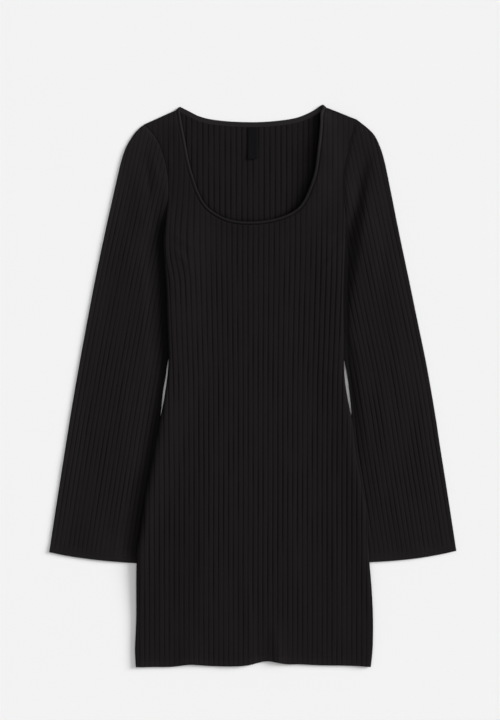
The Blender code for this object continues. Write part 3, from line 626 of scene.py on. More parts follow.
class Cloth:
    """The mesh of one piece of cloth, made of closed layers."""

    insets = (0.45, 1.0, 1.9)
    rib_margin = 0.3
    place_margin = 3.0
    # painted shade along sewn seams, fading a couple of millimetres from the edge
    seam_shade = 0.5
    seam_fade = Ramp(-0.5, 2.0)
    merge = 0.01

    def __init__(
        self, side: int = 1, pale: Height | None = None, shade: Height | None = None
    ) -> None:
        """Starts an empty mesh.

        Args:
            side: -1 mirrors it across the middle line.
            pale: How much painted light makes the cloth paler at a place, from 0 to 1.
            shade: How much painted shade it has there, as deep in a fold, from 0 to 1.
        """
        self.side = side
        self.pale = pale
        self.shade = shade
        self.painted_lights: list[float] = []
        self.corners: list[tuple[float, float, float]] = []
        self.faces: list[list[int]] = []
        self.ribs: list[float] = []
        self.weave: list[tuple[float, float]] = []

    def corner(self, x: float, y: float, z: float, rib: float, across: float) -> int:
        """Adds a corner with its place on the knit.

        Args:
            x: The place across.
            y: The place along.
            z: The height.
            rib: What the rib attribute says there.
            across: The place across the knit.

        Returns:
            The corner's number.
        """
        self.corners.append((x * self.side * MM, y * MM, z * MM))
        self.ribs.append(rib)
        self.painted_lights.append(self.pale(x, y) if self.pale else 0.0)
        self.weave.append((across * MM, y * MM))
        return len(self.corners) - 1

    def layer(self, outline: Outline, upper: Skin, lower: Skin, seam: Height) -> None:
        """Adds a closed layer between two skins.

        Args:
            outline: The layer's edge.
            upper: The skin that looks up.
            lower: The skin that looks down.
            seam: The height at which the layer closes where it is sewn.
        """
        def border(x: float, y: float, turned: float) -> float:
            """The height at which the layer closes."""
            middle = (upper.height(x, y) + lower.height(x, y)) / 2
            return mixed(seam(x, y), middle, turned)

        knit = upper.ribbing or lower.ribbing
        edge = []
        for n, point in enumerate(outline.points):
            height = border(point.x, point.y, outline.turned[n])
            across = knit.share(*point) * knit.pitch(0)
            edge.append(self.corner(point.x, point.y, height, 0.5, across))
        rings = [inset(outline.points, distance) for distance in self.insets]
        for skin, up in ((upper, True), (lower, False)):
            lines = [ring + ring[:1] for ring in rings]
            if skin.ribbing:
                for line in skin.ribbing.lines():
                    lines += outline.inside(line, self.rib_margin)
            margin = self.place_margin
            places = [place for place in skin.places if outline.depth(*place)[0] > margin]
            points, faces, ring = filled(outline.points, lines, places, self.merge)
            numbers = dict(zip(ring, edge))
            for n, point in enumerate(points):
                if n not in numbers:
                    numbers[n] = self.skin_corner(outline, skin, knit, border, point)
            for face in faces:
                self.face([numbers[n] for n in face], up)

    def skin_corner(
        self,
        outline: Outline,
        skin: Skin,
        knit: Ribbing,
        border: Callable[[float, float, float], float],
        point: Vector,
    ) -> int:
        """Adds a corner of a skin, rounded down or up to the layer's border.

        Args:
            outline: The layer's edge.
            skin: The skin.
            knit: The ribs that its place on the knit is counted in.
            border: The height at which the layer closes, from a place and how far it is turned.
            point: The corner's place.

        Returns:
            The corner's number.
        """
        x, y = point
        depth, turned = outline.depth(x, y)
        level = skin.level(x, y)
        if depth < skin.rounding:
            short = 1 - max(0.0, depth) / skin.rounding
            level = mixed(border(x, y, turned), level, math.sqrt(1 - short * short))
        open_share = skin.ribbing.openness(x, y) if skin.ribbing else 0.5
        # painted shade: darker at sewn seams, and towards the deep fold colour where the shade
        # function paints a fold
        shade = self.seam_shade * (1 - turned) * (1 - self.seam_fade(depth))
        rib = (1 - open_share) * (1 - shade)
        if self.shade:
            rib = mixed(rib, -1.0, self.shade(x, y))
        return self.corner(x, y, level, rib, knit.share(x, y) * knit.pitch(0))

    def face(self, numbers: list[int], up: bool) -> None:
        """Adds a face that is listed as seen from above, looking up or down."""
        if len(set(numbers)) == len(numbers):
            self.faces.append(numbers if up == (self.side > 0) else numbers[::-1])

    def build(self, name: str) -> bpy.types.Object:
        """Makes the object.

        Args:
            name: The object's name.

        Returns:
            The object, shaded smooth, with its rib attribute and weave map.
        """
        mesh = bpy.data.meshes.new(name)
        mesh.from_pydata(self.corners, [], self.faces)
        mesh.validate()
        mesh.shade_smooth()
        mesh.attributes.new(RIB, "FLOAT", "POINT").data.foreach_set("value", self.ribs)
        mesh.attributes.new(PAINTED_LIGHT, "FLOAT", "POINT").data.foreach_set("value", self.painted_lights)
        weave = mesh.uv_layers.new(name=WEAVE)
        corners = [self.weave[loop.vertex_index] for loop in mesh.loops]
        weave.data.foreach_set("uv", [value for pair in corners for value in pair])
        piece = bpy.data.objects.new(name, mesh)
        bpy.context.scene.collection.objects.link(piece)
        return piece


def filled(
    loop: Sequence[Vector],
    lines: Iterable[Sequence[Vector]],
    places: Iterable[Vector],
    merge: float,
) -> tuple[list[Vector], list[list[int]], list[int]]:
    """A loop filled with triangles that keep some lines.

    Args:
        loop: The loop's points, turning to the left.
        lines: Lines that lie inside it.
        places: More points inside it.
        merge: Points closer than this become one.

    Returns:
        The points, the triangles, and the numbers of the loop's own points.
    """
    points = list(loop)
    edges = []
    for line in lines:
        first = len(points)
        points += line
        edges += [(n, n + 1) for n in range(first, len(points) - 1)]
    points += places
    found = delaunay_2d_cdt(points, edges, [list(range(len(loop)))], 1, merge)
    new_number = {original: n for n, originals in enumerate(found[3]) for original in originals}
    return found[0], found[2], [new_number[n] for n in range(len(loop))]


def grid(low: Vector, high: Vector, step: float) -> list[Vector]:
    """Points a step apart between two corners.

    Args:
        low: The corner on the lower left.
        high: The corner on the upper right.
        step: The distance between the points.

    Returns:
        The points.
    """
    columns = math.ceil((high.x - low.x) / step)
    rows = math.ceil((high.y - low.y) / step)
    steps = [(a * step, b * step) for a in range(columns + 1) for b in range(rows + 1)]
    return [low + Vector(away) for away in steps]


# Finishes.


class Value:
    """A number in a material: a node's output, on which expressions add Math nodes."""

    def __init__(self, shader: "Shader", socket: bpy.types.NodeSocket) -> None:
        """Wraps a socket of a shader's node."""
        self.shader = shader
        self.socket = socket

    def math(self, operation: str, *values: "Value | float") -> "Value":
        """A Math node on some values."""
        inputs = dict(enumerate(values))
        return self.shader.value("ShaderNodeMath", {"operation": operation}, inputs)

    def __add__(self, other: "Value | float") -> "Value":
        """The sum."""
        return self.math("ADD", self, other)

    def __sub__(self, other: "Value | float") -> "Value":
        """The difference."""
        return self.math("SUBTRACT", self, other)

    def __rsub__(self, other: "Value | float") -> "Value":
        """The difference, the other way round."""
        return self.math("SUBTRACT", other, self)

    def __mul__(self, other: "Value | float") -> "Value":
        """The product."""
        return self.math("MULTIPLY", self, other)

    def __truediv__(self, other: "Value | float") -> "Value":
        """The quotient."""
        return self.math("DIVIDE", self, other)

    __radd__ = __add__
    __rmul__ = __mul__

    def fraction(self) -> "Value":
        """The part after the whole number."""
        return self.math("FRACT", self)

    def size(self) -> "Value":
        """The number without its sign."""
        return self.math("ABSOLUTE", self)

    def sine(self) -> "Value":
        """The sine of the number, in radians."""
        return self.math("SINE", self)

    def wave(self, period: float) -> "Value":
        """A soft wave between 0 and 1 that comes again after each period."""
        return (self * (2 * math.pi / period)).sine() * 0.5 + 0.5

    def about(self, middle: float, spread: float) -> "Value":
        """A number between 0 and 1, moved to lie about a middle."""
        return middle + spread * (self - 0.5)


class Shader:
    """A material in the making, with one Principled surface."""

    def __init__(self, name: str, fixed: dict[str, float | Colour]) -> None:
        """Starts a material.

        Args:
            name: The material's name.
            fixed: What is the same all over the surface, by the surface's socket.
        """
        self.material = bpy.data.materials.new(name)
        self.material.use_nodes = True
        self.tree = self.material.node_tree
        self.surface = self.tree.nodes["Principled BSDF"]
        for socket, value in fixed.items():
            self.surface.inputs[socket].default_value = value

    def node(self, kind: str, settings: dict, inputs: dict) -> bpy.types.Node:
        """Adds a node.

        Args:
            kind: The node's type.
            settings: Its own settings, such as a Math node's operation.
            inputs: Values or links of its sockets, by name or number.

        Returns:
            The node.
        """
        made = self.tree.nodes.new(kind)
        for name, setting in settings.items():
            setattr(made, name, setting)
        for name, value in inputs.items():
            self.feed(made.inputs[name], value)
        return made

    def value(self, kind: str, settings: dict, inputs: dict, output: int | str = 0) -> Value:
        """Adds a node and gives one of its outputs."""
        return Value(self, self.node(kind, settings, inputs).outputs[output])

    def feed(self, socket: bpy.types.NodeSocket, value: "Value | float | Colour") -> None:
        """Links a value to a socket, or sets it there.

        Args:
            socket: The socket.
            value: A node's output, or a fixed number or colour.
        """
        if isinstance(value, Value):
            self.tree.links.new(value.socket, socket)
        else:
            socket.default_value = value

    def weave(self) -> tuple[Value, Value]:
        """The place across and along the knit, in millimetres."""
        place = self.value("ShaderNodeUVMap", {"uv_map": WEAVE}, {})
        parts = self.node("ShaderNodeSeparateXYZ", {}, {0: place})
        return Value(self, parts.outputs[0]) / MM, Value(self, parts.outputs[1]) / MM

    def place(self) -> Value:
        """The place in the dress's own frame, in metres."""
        return self.value("ShaderNodeTexCoord", {}, {}, "Object")

    def attribute(self, name: str) -> Value:
        """What an attribute of the mesh says."""
        return self.value("ShaderNodeAttribute", {"attribute_name": name}, {}, "Fac")

    def speckle(self, size: float, detail: float = 2.0) -> Value:
        """A chance value between 0 and 1 that changes over a size in millimetres."""
        inputs = {"Vector": self.place(), "Scale": 1 / (size * MM), "Detail": detail}
        return self.value("ShaderNodeTexNoise", {}, inputs)

    def blended(self, share: Value | float, start: Value | Colour, end: Value | Colour) -> Value:
        """A colour between two others."""
        inputs = {"Factor": share, 6: start, 7: end}
        return self.value("ShaderNodeMix", {"data_type": "RGBA"}, inputs, 2)

    def emboss(self, height: Value, depth: float) -> Value:
        """A bump whose height is a share of a depth in millimetres."""
        inputs = {"Strength": 1.0, "Distance": depth * MM, "Height": height}
        return self.value("ShaderNodeBump", {}, inputs)

    def finished(
        self, colour: Value, roughness: Value, relief: Value | None = None
    ) -> bpy.types.Material:
        """Feeds the surface.

        Args:
            colour: Its colour.
            roughness: Its roughness.
            relief: Its bump, if it has one.

        Returns:
            The material.
        """
        self.feed(self.surface.inputs["Base Color"], colour)
        self.feed(self.surface.inputs["Roughness"], roughness)
        if relief:
            self.feed(self.surface.inputs["Normal"], relief)
        return self.material


YARN = {"Metallic": 0.0, "Sheen Roughness": 0.45, "Sheen Tint": (0.5, 0.48, 0.5, 1)}


@dataclass(frozen=True)
class RibKnit:
    """Black jersey knit in ribs, with V-shaped stitches in columns along them."""

    name: str = "rib_knit"
    # groove is the knit's colour darkened by painted shade, where little light reaches; deep is
    # painted shade for the bottom of a fold
    groove: Colour = (0.0055, 0.0047, 0.0050, 1)
    rib: Colour = (0.0090, 0.0078, 0.0084, 1)
    worn: Colour = (0.0127, 0.0111, 0.0118, 1)
    deep: Colour = (0.0016, 0.0014, 0.0015, 1)
    # pale is the painted light at the outer edges
    pale: Colour = (0.0190, 0.0170, 0.0180, 1)
    column: float = 1.23
    row: float = 0.95
    lean: float = 1.3
    relief: float = 0.1
    roughness: float = 0.82
    leg_curve: float = 2 * math.pi

    def material(self) -> bpy.types.Material:
        """Makes the material."""
        shader = Shader(self.name, YARN | {"Specular IOR Level": 0.03, "Sheen Weight": 0.015})
        across, along = shader.weave()
        beside = ((across / self.column).fraction() - 0.5).size()
        leg = (beside * self.leg_curve).sine()
        place = (along / self.row + beside * self.lean).fraction()
        stitch = (place * math.pi).sine() * leg
        fuzz = shader.speckle(0.35)
        on_rib = shader.attribute(RIB)
        mottle = shader.speckle(14, 3.0)
        # painted shade: the groove colour between ribs, and the deep colour where the rib attribute
        # falls below zero in a fold
        base = shader.blended(on_rib, self.groove, self.rib)
        base = shader.blended(on_rib * -1.0, base, self.deep)
        worn = shader.blended(on_rib * (stitch * 0.5 + mottle * 0.5) * 0.55, base, self.worn)
        # painted light: paler towards the outer edges
        colour = shader.blended(shader.attribute(PAINTED_LIGHT) * 0.4, worn, self.pale)
        relief = shader.emboss(stitch * 0.8 + fuzz * 0.35, self.relief)
        return shader.finished(colour, fuzz.about(self.roughness, 0.16), relief)


@dataclass(frozen=True)
class Binding:
    """The same yarn knit as a narrow band, with fine ribs across it."""

    name: str = "neck_binding"
    # ditch is painted shade for the binding's undercuts, and pale is its painted light
    ditch_shade: Colour = (0.0018, 0.0015, 0.0016, 1)
    yarn: Colour = (0.0076, 0.0067, 0.0072, 1)
    light: Colour = (0.0135, 0.0120, 0.0128, 1)
    pale: Colour = (0.0260, 0.0235, 0.0248, 1)
    rib: float = 1.6
    thread: float = 0.9
    relief: float = 0.12
    roughness: float = 0.78

    def material(self) -> bpy.types.Material:
        """Makes the material."""
        shader = Shader(self.name, YARN | {"Specular IOR Level": 0.04, "Sheen Weight": 0.02})
        across, along = shader.weave()
        rib = along.wave(self.rib)
        thread = across.wave(self.thread)
        fuzz = shader.speckle(0.4)
        colour = shader.blended(rib * 0.6 + fuzz * 0.2, self.yarn, self.light)
        # painted light towards the neck points, then painted shade where the rib attribute marks an
        # undercut
        colour = shader.blended(shader.attribute(PAINTED_LIGHT) * 0.5, colour, self.pale)
        colour = shader.blended(shader.attribute(RIB), self.ditch_shade, colour)
        relief = shader.emboss(rib * 0.7 + thread * rib * 0.2 + fuzz * 0.25, self.relief)
        return shader.finished(colour, fuzz.about(self.roughness, 0.14), relief)


@dataclass(frozen=True)
class Satin:
    """Woven satin ribbon, dark and a little glossy, in a fine twill."""

    name: str = "label_satin"
    yarn: Colour = (0.0013, 0.0012, 0.0017, 1)
    light: Colour = (0.0038, 0.0035, 0.0047, 1)
    thread: float = 0.28
    twill: float = 3.0
    relief: float = 0.03
    roughness: float = 0.5

    def material(self) -> bpy.types.Material:
        """Makes the material."""
        shader = Shader(self.name, {"Metallic": 0.0, "Specular IOR Level": 0.06})
        across, along = shader.weave()
        warp = across.wave(self.thread)
        slanted = along * (2 * math.pi / (4 * self.thread)) + across * self.twill
        weft = slanted.sine() * 0.5 + 0.5
        slub = shader.speckle(1.2)
        colour = shader.blended(warp * 0.3 + slub * 0.3, self.yarn, self.light)
        relief = shader.emboss(warp * 0.6 + weft * 0.4, self.relief)
        return shader.finished(colour, slub.about(self.roughness, 0.2), relief)


@dataclass(frozen=True)
class Thread:
    """Spun polyester sewing thread, black, twisted."""

    name: str = "sewing_thread"
    yarn: Colour = (0.0045, 0.0040, 0.0043, 1)
    light: Colour = (0.0110, 0.0100, 0.0106, 1)
    twist: float = 0.35
    relief: float = 0.05
    roughness: float = 0.5

    def material(self) -> bpy.types.Material:
        """Makes the material."""
        shader = Shader(self.name, {"Metallic": 0.0, "Specular IOR Level": 0.12})
        parts = shader.node("ShaderNodeSeparateXYZ", {}, {0: shader.place()})
        slant = Value(shader, parts.outputs[0]) + Value(shader, parts.outputs[1])
        ply = slant.wave(self.twist * MM)
        colour = shader.blended(ply, self.yarn, self.light)
        relief = shader.emboss(ply, self.relief)
        return shader.finished(colour, self.roughness + 0.15 * ply, relief)


@dataclass(frozen=True)
class Paper:
    """The pale matt surface that the dress lies on."""

    name: str = "pale_floor"
    shade: Colour = (0.815, 0.815, 0.815, 1)
    light: Colour = (0.825, 0.825, 0.825, 1)
    roughness: float = 0.85

    def material(self) -> bpy.types.Material:
        """Makes the material."""
        shader = Shader(self.name, {"Metallic": 0.0, "Specular IOR Level": 0.2})
        colour = shader.blended(shader.speckle(160), self.shade, self.light)
        return shader.finished(colour, shader.speckle(1.5).about(self.roughness, 0.1))


# The body of the dress.


# How far the armhole seam on the right stands up, by the place along.
RIGHT_ARMHOLE = Guide([(226, 0.0), (245, 1.8), (300, 2.4), (335, 2.0), (365, 1.0), (395, 0.0)])


def middle_line(_: float) -> float:
    """The line that the body's ribs are counted from."""
    return 0.0


@dataclass
class BodyForm:
    """The form that the body's two layers share. Its tables give a value by the place along."""

    wall: float = 1.2
    rib: float = 0.6
    gap: float = 0.3
    underarm: float = 220.0
    shelf: float = 13.0
    reach: float = 38.0
    seam_ease: float = 14.0
    side_ease: float = 7.0
    turning: Turning = Turning(13.5, (9.0, 12.2))
    hem_rows: tuple[float, ...] = (
        0, 2.6, 5.4, 7.6, 8.4, 9.0, 9.6, 10.5, 11.6, 12.2, 12.8, 13.8, 15.2, 18, 22,
    )
    rows_start: float = 30.0
    row_count: int = 106
    chest: Ramp = Ramp(190, 60)
    middle_reaches: Pair = (60.0, 48.0)  # below the chest and above it
    waver: float = 0.25
    waver_size: float = 38.0
    # painted light: paler at the hem and over the shoulders
    painted_light_strength: float = 0.45
    hem_painted_light: Ramp = Ramp(4, 12)
    shoulder_painted_light: Ramp = Ramp(0, 34)
    stretch: float = 0.42
    stretch_across: Ramp = Ramp(70, 34)
    stretch_along: Pair = (90.0, 130.0)  # its middle and its reach
    turned_strength: float = 0.9
    turned_ease: Ramp = Ramp(-2, 5)
    pull: float = -7.0
    pull_start: Ramp = Ramp(152, 56)
    pull_end: Ramp = Ramp(215, 115)
    pull_across: Pair = (-116.0, 24.0)  # its middle and its reach
    # painted shade: along the left side, in a soft patch low on the left of the skirt, and a little
    # over the lower skirt
    side_shade_width: float = 11.0
    hollow_shade: float = 0.14
    hollow: Spot = Spot(-112, -264, 46, 95)
    skirt_shade: float = 0.03
    skirt: Ramp = Ramp(-150, -90)
    pitch: Guide = Guide([(HEM_Y, 7.38), (0, 7.42), (90, 7.62), (220, 7.88), (TOP_Y, 7.95)])
    level: Guide = Guide([
        (HEM_Y, 0.9), (-350, 2.2), (-300, 3.6), (-265, 4.3), (-80, 4.3), (-40, 4.2),
        (0, 4.0), (150, 3.9), (190, 2.6), (222, 0.0), (260, 0.0),
    ])
    middle: Guide = Guide([
        (HEM_Y, 0.6), (-395, 1.4), (-350, 2.4), (-300, 3.0), (-200, 3.3), (100, 3.3),
        (200, 3.1), (260, 2.5), (330, 1.8), (400, 0.9), (TOP_Y, 0.4),
    ])
    left_roll: Guide = Guide([
        (HEM_Y, 0.9), (-300, 1.3), (-250, 3.8), (0, 4.2), (85, 5.0), (150, 5.4), (190, 6.4),
        (220, 8.4), (231, 7.8), (243, 6.2), (257, 3.8), (271, 1.5), (284, 0.0),
    ])
    right_roll: Guide = Guide([(HEM_Y, 1.2), (100, 1.6), (200, 1.8), (243, 1.2), (275, 0.0)])
    roll_fade: Guide = Guide([(HEM_Y, 30.0), (-100, 44.0), (0, 62.0), (100, 80.0), (284, 80.0)])
    roll_round: Guide = Guide([
        (HEM_Y, 4.0), (-300, 6.0), (-250, 10.0), (-200, 13.0), (-130, 12.0), (-60, 8.0),
        (-20, 5.0), (30, 3.6),
    ])
    strength: Guide = Guide([
        (HEM_Y, 0.6), (-362, 0.66), (-326, 0.75), (-290, 0.8), (-254, 0.84), (-200, 0.92),
        (-110, 0.96), (-2, 0.93), (142, 0.9), (178, 0.86), (214, 0.8), (250, 0.68),
        (290, 0.54), (340, 0.5), (420, 0.5),
    ])
    # painted shade along the left side, by the place along
    side_shade: Guide = Guide([
        (-420, 0.08), (-240, 0.1), (-215, 0.5), (-185, 0.34), (-140, 0.42), (-95, 0.22),
        (-60, 0.05), (-30, 0.0),
    ])
    lofts: tuple[Loft, ...] = (
        Loft(102, 350, 7.4, 40, 78),
        Loft(98, 404, 3.2, 28, 34),
        Loft(88, 292, 5.4, 44, 48),
        Loft(58, 262, 3.2, 50, 36),
        Loft(0, 250, 2.8, 70, 32),
        Loft(-56, 262, 0.9, 40, 34),
        Loft(-108, 330, 0.8, 22, 90),
        Loft(14, -436, 1.6, 90, 70),
        Loft(-26, -420, 1.2, 34, 60),
        Loft(-94, -415, 1.6, 30, 60),
        Loft(-100, 175, 1.0, 34, 60),
        Loft(104, 175, 1.0, 34, 60),
        Loft(0, 80, 0.7, 130, 150),
        Loft(10, -200, 0.9, 120, 160),
    )
    creases: tuple[Crease, ...] = (
        Crease((-131, 236), (-70, 204), 5.5, 1.3, 4),
        Crease((-130, 216), (-88, 168), 4.5, 0.9, -3),
        Crease((-129, 190), (-104, 120), 6.0, 0.6, 2),
        Crease((137, 236), (74, 210), 5.5, 1.1, -4),
        Crease((136, 214), (98, 160), 4.5, 0.8, 3),
        Crease((-124, 22), (-62, 46), 8.0, 0.7, -3),
        Crease((134, 12), (78, 40), 9.0, 0.7, 3),
        Crease((-58, -70), (-76, -404), 13.0, 0.8, 6),
        Crease((40, -40), (62, -372), 15.0, 0.7, -5),
        Crease((112, -120), (130, -414), 11.0, 0.9, -4),
        Crease((-128, -170), (-142, -412), 9.0, 0.8, 3),
        Crease((-12, -250), (2, -418), 8.0, 0.9, 2),
        Crease((32, -338), (46, -500), 8.0, 2.2),
        Crease((10, -330), (17, -500), 10.0, -1.6),
        Crease((-118, 392), (-126, 300), 5.0, 0.6, 3),
        Crease((124, 384), (116, 300), 6.0, 0.7, -3),
        Crease((-40, 236), (-58, 120), 9.0, 0.5, 3),
        Crease((36, 230), (50, 104), 10.0, 0.5, -4),
    )

    def __post_init__(self) -> None:
        """Reads both outlines."""
        seam, turned = Finish.SEWN, Finish.TURNED
        finishes = (turned, seam, seam, turned, seam, seam)
        self.front_edge = Outline("front_panel", finishes)
        self.back_edge = Outline("back_panel", finishes)
        edges = self.front_edge.stretches
        hem, right, self.right_shoulder, self.scoop, self.left_shoulder, left = edges
        self.nape = self.back_edge.stretches[3]
        self.hem_y = Guide([(point.x, point.y) for point in hem])
        self.right_x = Guide([(point.y, point.x) for point in right])
        self.left_x = Guide([(point.y, point.x) for point in left])

    def from_side(self, x: float, y: float) -> float:
        """The distance from a place to the nearer side seam or armhole."""
        return max(0.0, min(x - self.left_x(y), self.right_x(y) - x))

    def lift(self, x: float, y: float) -> float:
        """The height of the back's outside, which rises over the sleeves at the sides."""
        share = (self.from_side(x, y) - self.shelf) / (self.reach - self.shelf)
        return max(0.0, self.level(y)) * (1 - smoothstep(share))

    def from_shoulder(self, x: float, y: float) -> float:
        """The distance from a place to the shoulder seam on its side."""
        seam = self.right_shoulder if x > 0 else self.left_shoulder
        return abs((Vector((x, y)) - seam[0]).dot(right_of(seam[-1] - seam[0])))

    def on_right(self, x: float, y: float) -> bool:
        """Whether a place is nearer to the right side."""
        return x - self.left_x(y) >= self.right_x(y) - x

    def roll(self, x: float, y: float) -> float:
        """How high the front bulges where it turns down to the side seams.

        Args:
            x: The place across.
            y: The place along.

        Returns:
            The bulge's height there.
        """
        inward = self.from_side(x, y)
        rolls = self.right_roll if self.on_right(x, y) else self.left_roll
        short = 1 - min(1.0, inward / self.roll_round(y))
        fade = 1 - smoothstep(inward / self.roll_fade(y))
        return rolls(y) * math.sqrt(1 - short * short) * fade

    def front(self, x: float, y: float) -> float:
        """The height of the front's inside: its level, its lofts and creases, and its rolled side.

        Args:
            x: The place across.
            y: The place along.

        Returns:
            The height, in millimetres.
        """
        inward = self.from_side(x, y)
        ease = smoothstep(self.from_shoulder(x, y) / self.seam_ease)
        edge = max(0.0, self.level(y))
        reach = mixed(*self.middle_reaches, self.chest(y))
        seam = edge + (max(0.0, RIGHT_ARMHOLE(y)) if self.on_right(x, y) else 0.0)
        full = max(self.lift(x, y), mixed(seam, self.middle(y), smoothstep(inward / reach)))
        puff = lifted(self.lofts, x, y) + lifted(self.creases, x, y)
        puff += self.waver * (1 + uneven(x, y, self.waver_size, 1.3))
        puff = max(0.0, puff) * smoothstep(inward / self.side_ease) + self.roll(x, y)
        return edge + self.wall + self.gap + (full - edge + puff) * ease

    def pale(self, x: float, y: float) -> float:
        """How much painted light makes the cloth paler: more at the hem and over the shoulders."""
        hem = 1 - self.hem_painted_light(y - self.hem_y(x))
        return self.painted_light_strength * max(hem, 1 - self.shoulder_painted_light(self.from_shoulder(x, y)))

    def rib_strength(self, x: float, y: float) -> float:
        """How deep the grooves are: less in the turned hem and the chest, more where stretched.

        Args:
            x: The place across.
            y: The place along.

        Returns:
            The share of the usual depth.
        """
        middle, reach = self.stretch_along
        stretched = self.stretch * self.stretch_across(x) * bell((y - middle) / reach)
        past_hem = self.turned_ease(y - self.hem_y(x) - self.turning.depth)
        return (self.strength(y) + stretched) * mixed(self.turned_strength, 1.0, past_hem)

    def drawn(self, x: float, y: float) -> float:
        """How far the ribs are pulled outwards below the left armhole."""
        middle, reach = self.pull_across
        fades = self.pull_start(y) * (1 - self.pull_end(y))
        return self.pull * fades * bell((x - middle) / reach)

    def shade(self, x: float, y: float) -> float:
        """How much painted shade it has: as in a fold beside the left sleeve, in a patch low on the
        left, and a little over the lower skirt.
        """
        inward = (x - self.left_x(y)) / self.side_shade_width
        beside = self.side_shade(y) * (1 - smoothstep(inward))
        low = self.hollow_shade * self.hollow.nearness(x, y)
        return beside + low + self.skirt_shade * self.skirt(y)

    def rows(self, x: float) -> list[float]:
        """The heights of the points along a rib that starts at a place on the hem."""
        edge, count = self.hem_y(x), self.row_count
        start = self.front_edge.points[0].y + self.rows_start
        above = [start + (TOP_Y - start) * k / count for k in range(count + 1)]
        return [edge + row for row in self.hem_rows] + above


@dataclass
class FrontPanel:
    """The front: ribs outside, smooth inside, with its hem turned up."""

    form: BodyForm
    inside_round: float = 0.7
    seam_rise: float = 1.1
    armhole_rise: float = 1.65
    extent: tuple[Vector, Vector] = (Vector((-180, -421)), Vector((180, 420)))
    spacing: float = 9.0

    def outside(self, x: float, y: float) -> float:
        """The height of its ribs."""
        form = self.form
        turned = form.turning.rise(y - form.hem_y(x))
        return form.front(x, y) + form.wall + form.rib + turned

    def seam(self, x: float, y: float) -> float:
        """The height at which it closes, higher at the armhole on the right."""
        high = x > 0 and y > self.form.underarm
        return self.form.front(x, y) + (self.armhole_rise if high else self.seam_rise)

    def build(self) -> bpy.types.Object:
        """Makes the piece."""
        form = self.form
        ribbing = Ribbing(
            middle_line, form.pitch, -25, 26, form.rows, form.rib_strength, seed=2.5, drawn=form.drawn
        )
        places = grid(*self.extent, self.spacing)
        lower = Skin(form.front, bulge=-1, places=places, rounding=self.inside_round)
        cloth = Cloth(pale=form.pale, shade=form.shade)
        cloth.layer(form.front_edge, Skin(self.outside, ribbing), lower, self.seam)
        piece = cloth.build("front_cloth")
        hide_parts("front_panel")
        return piece


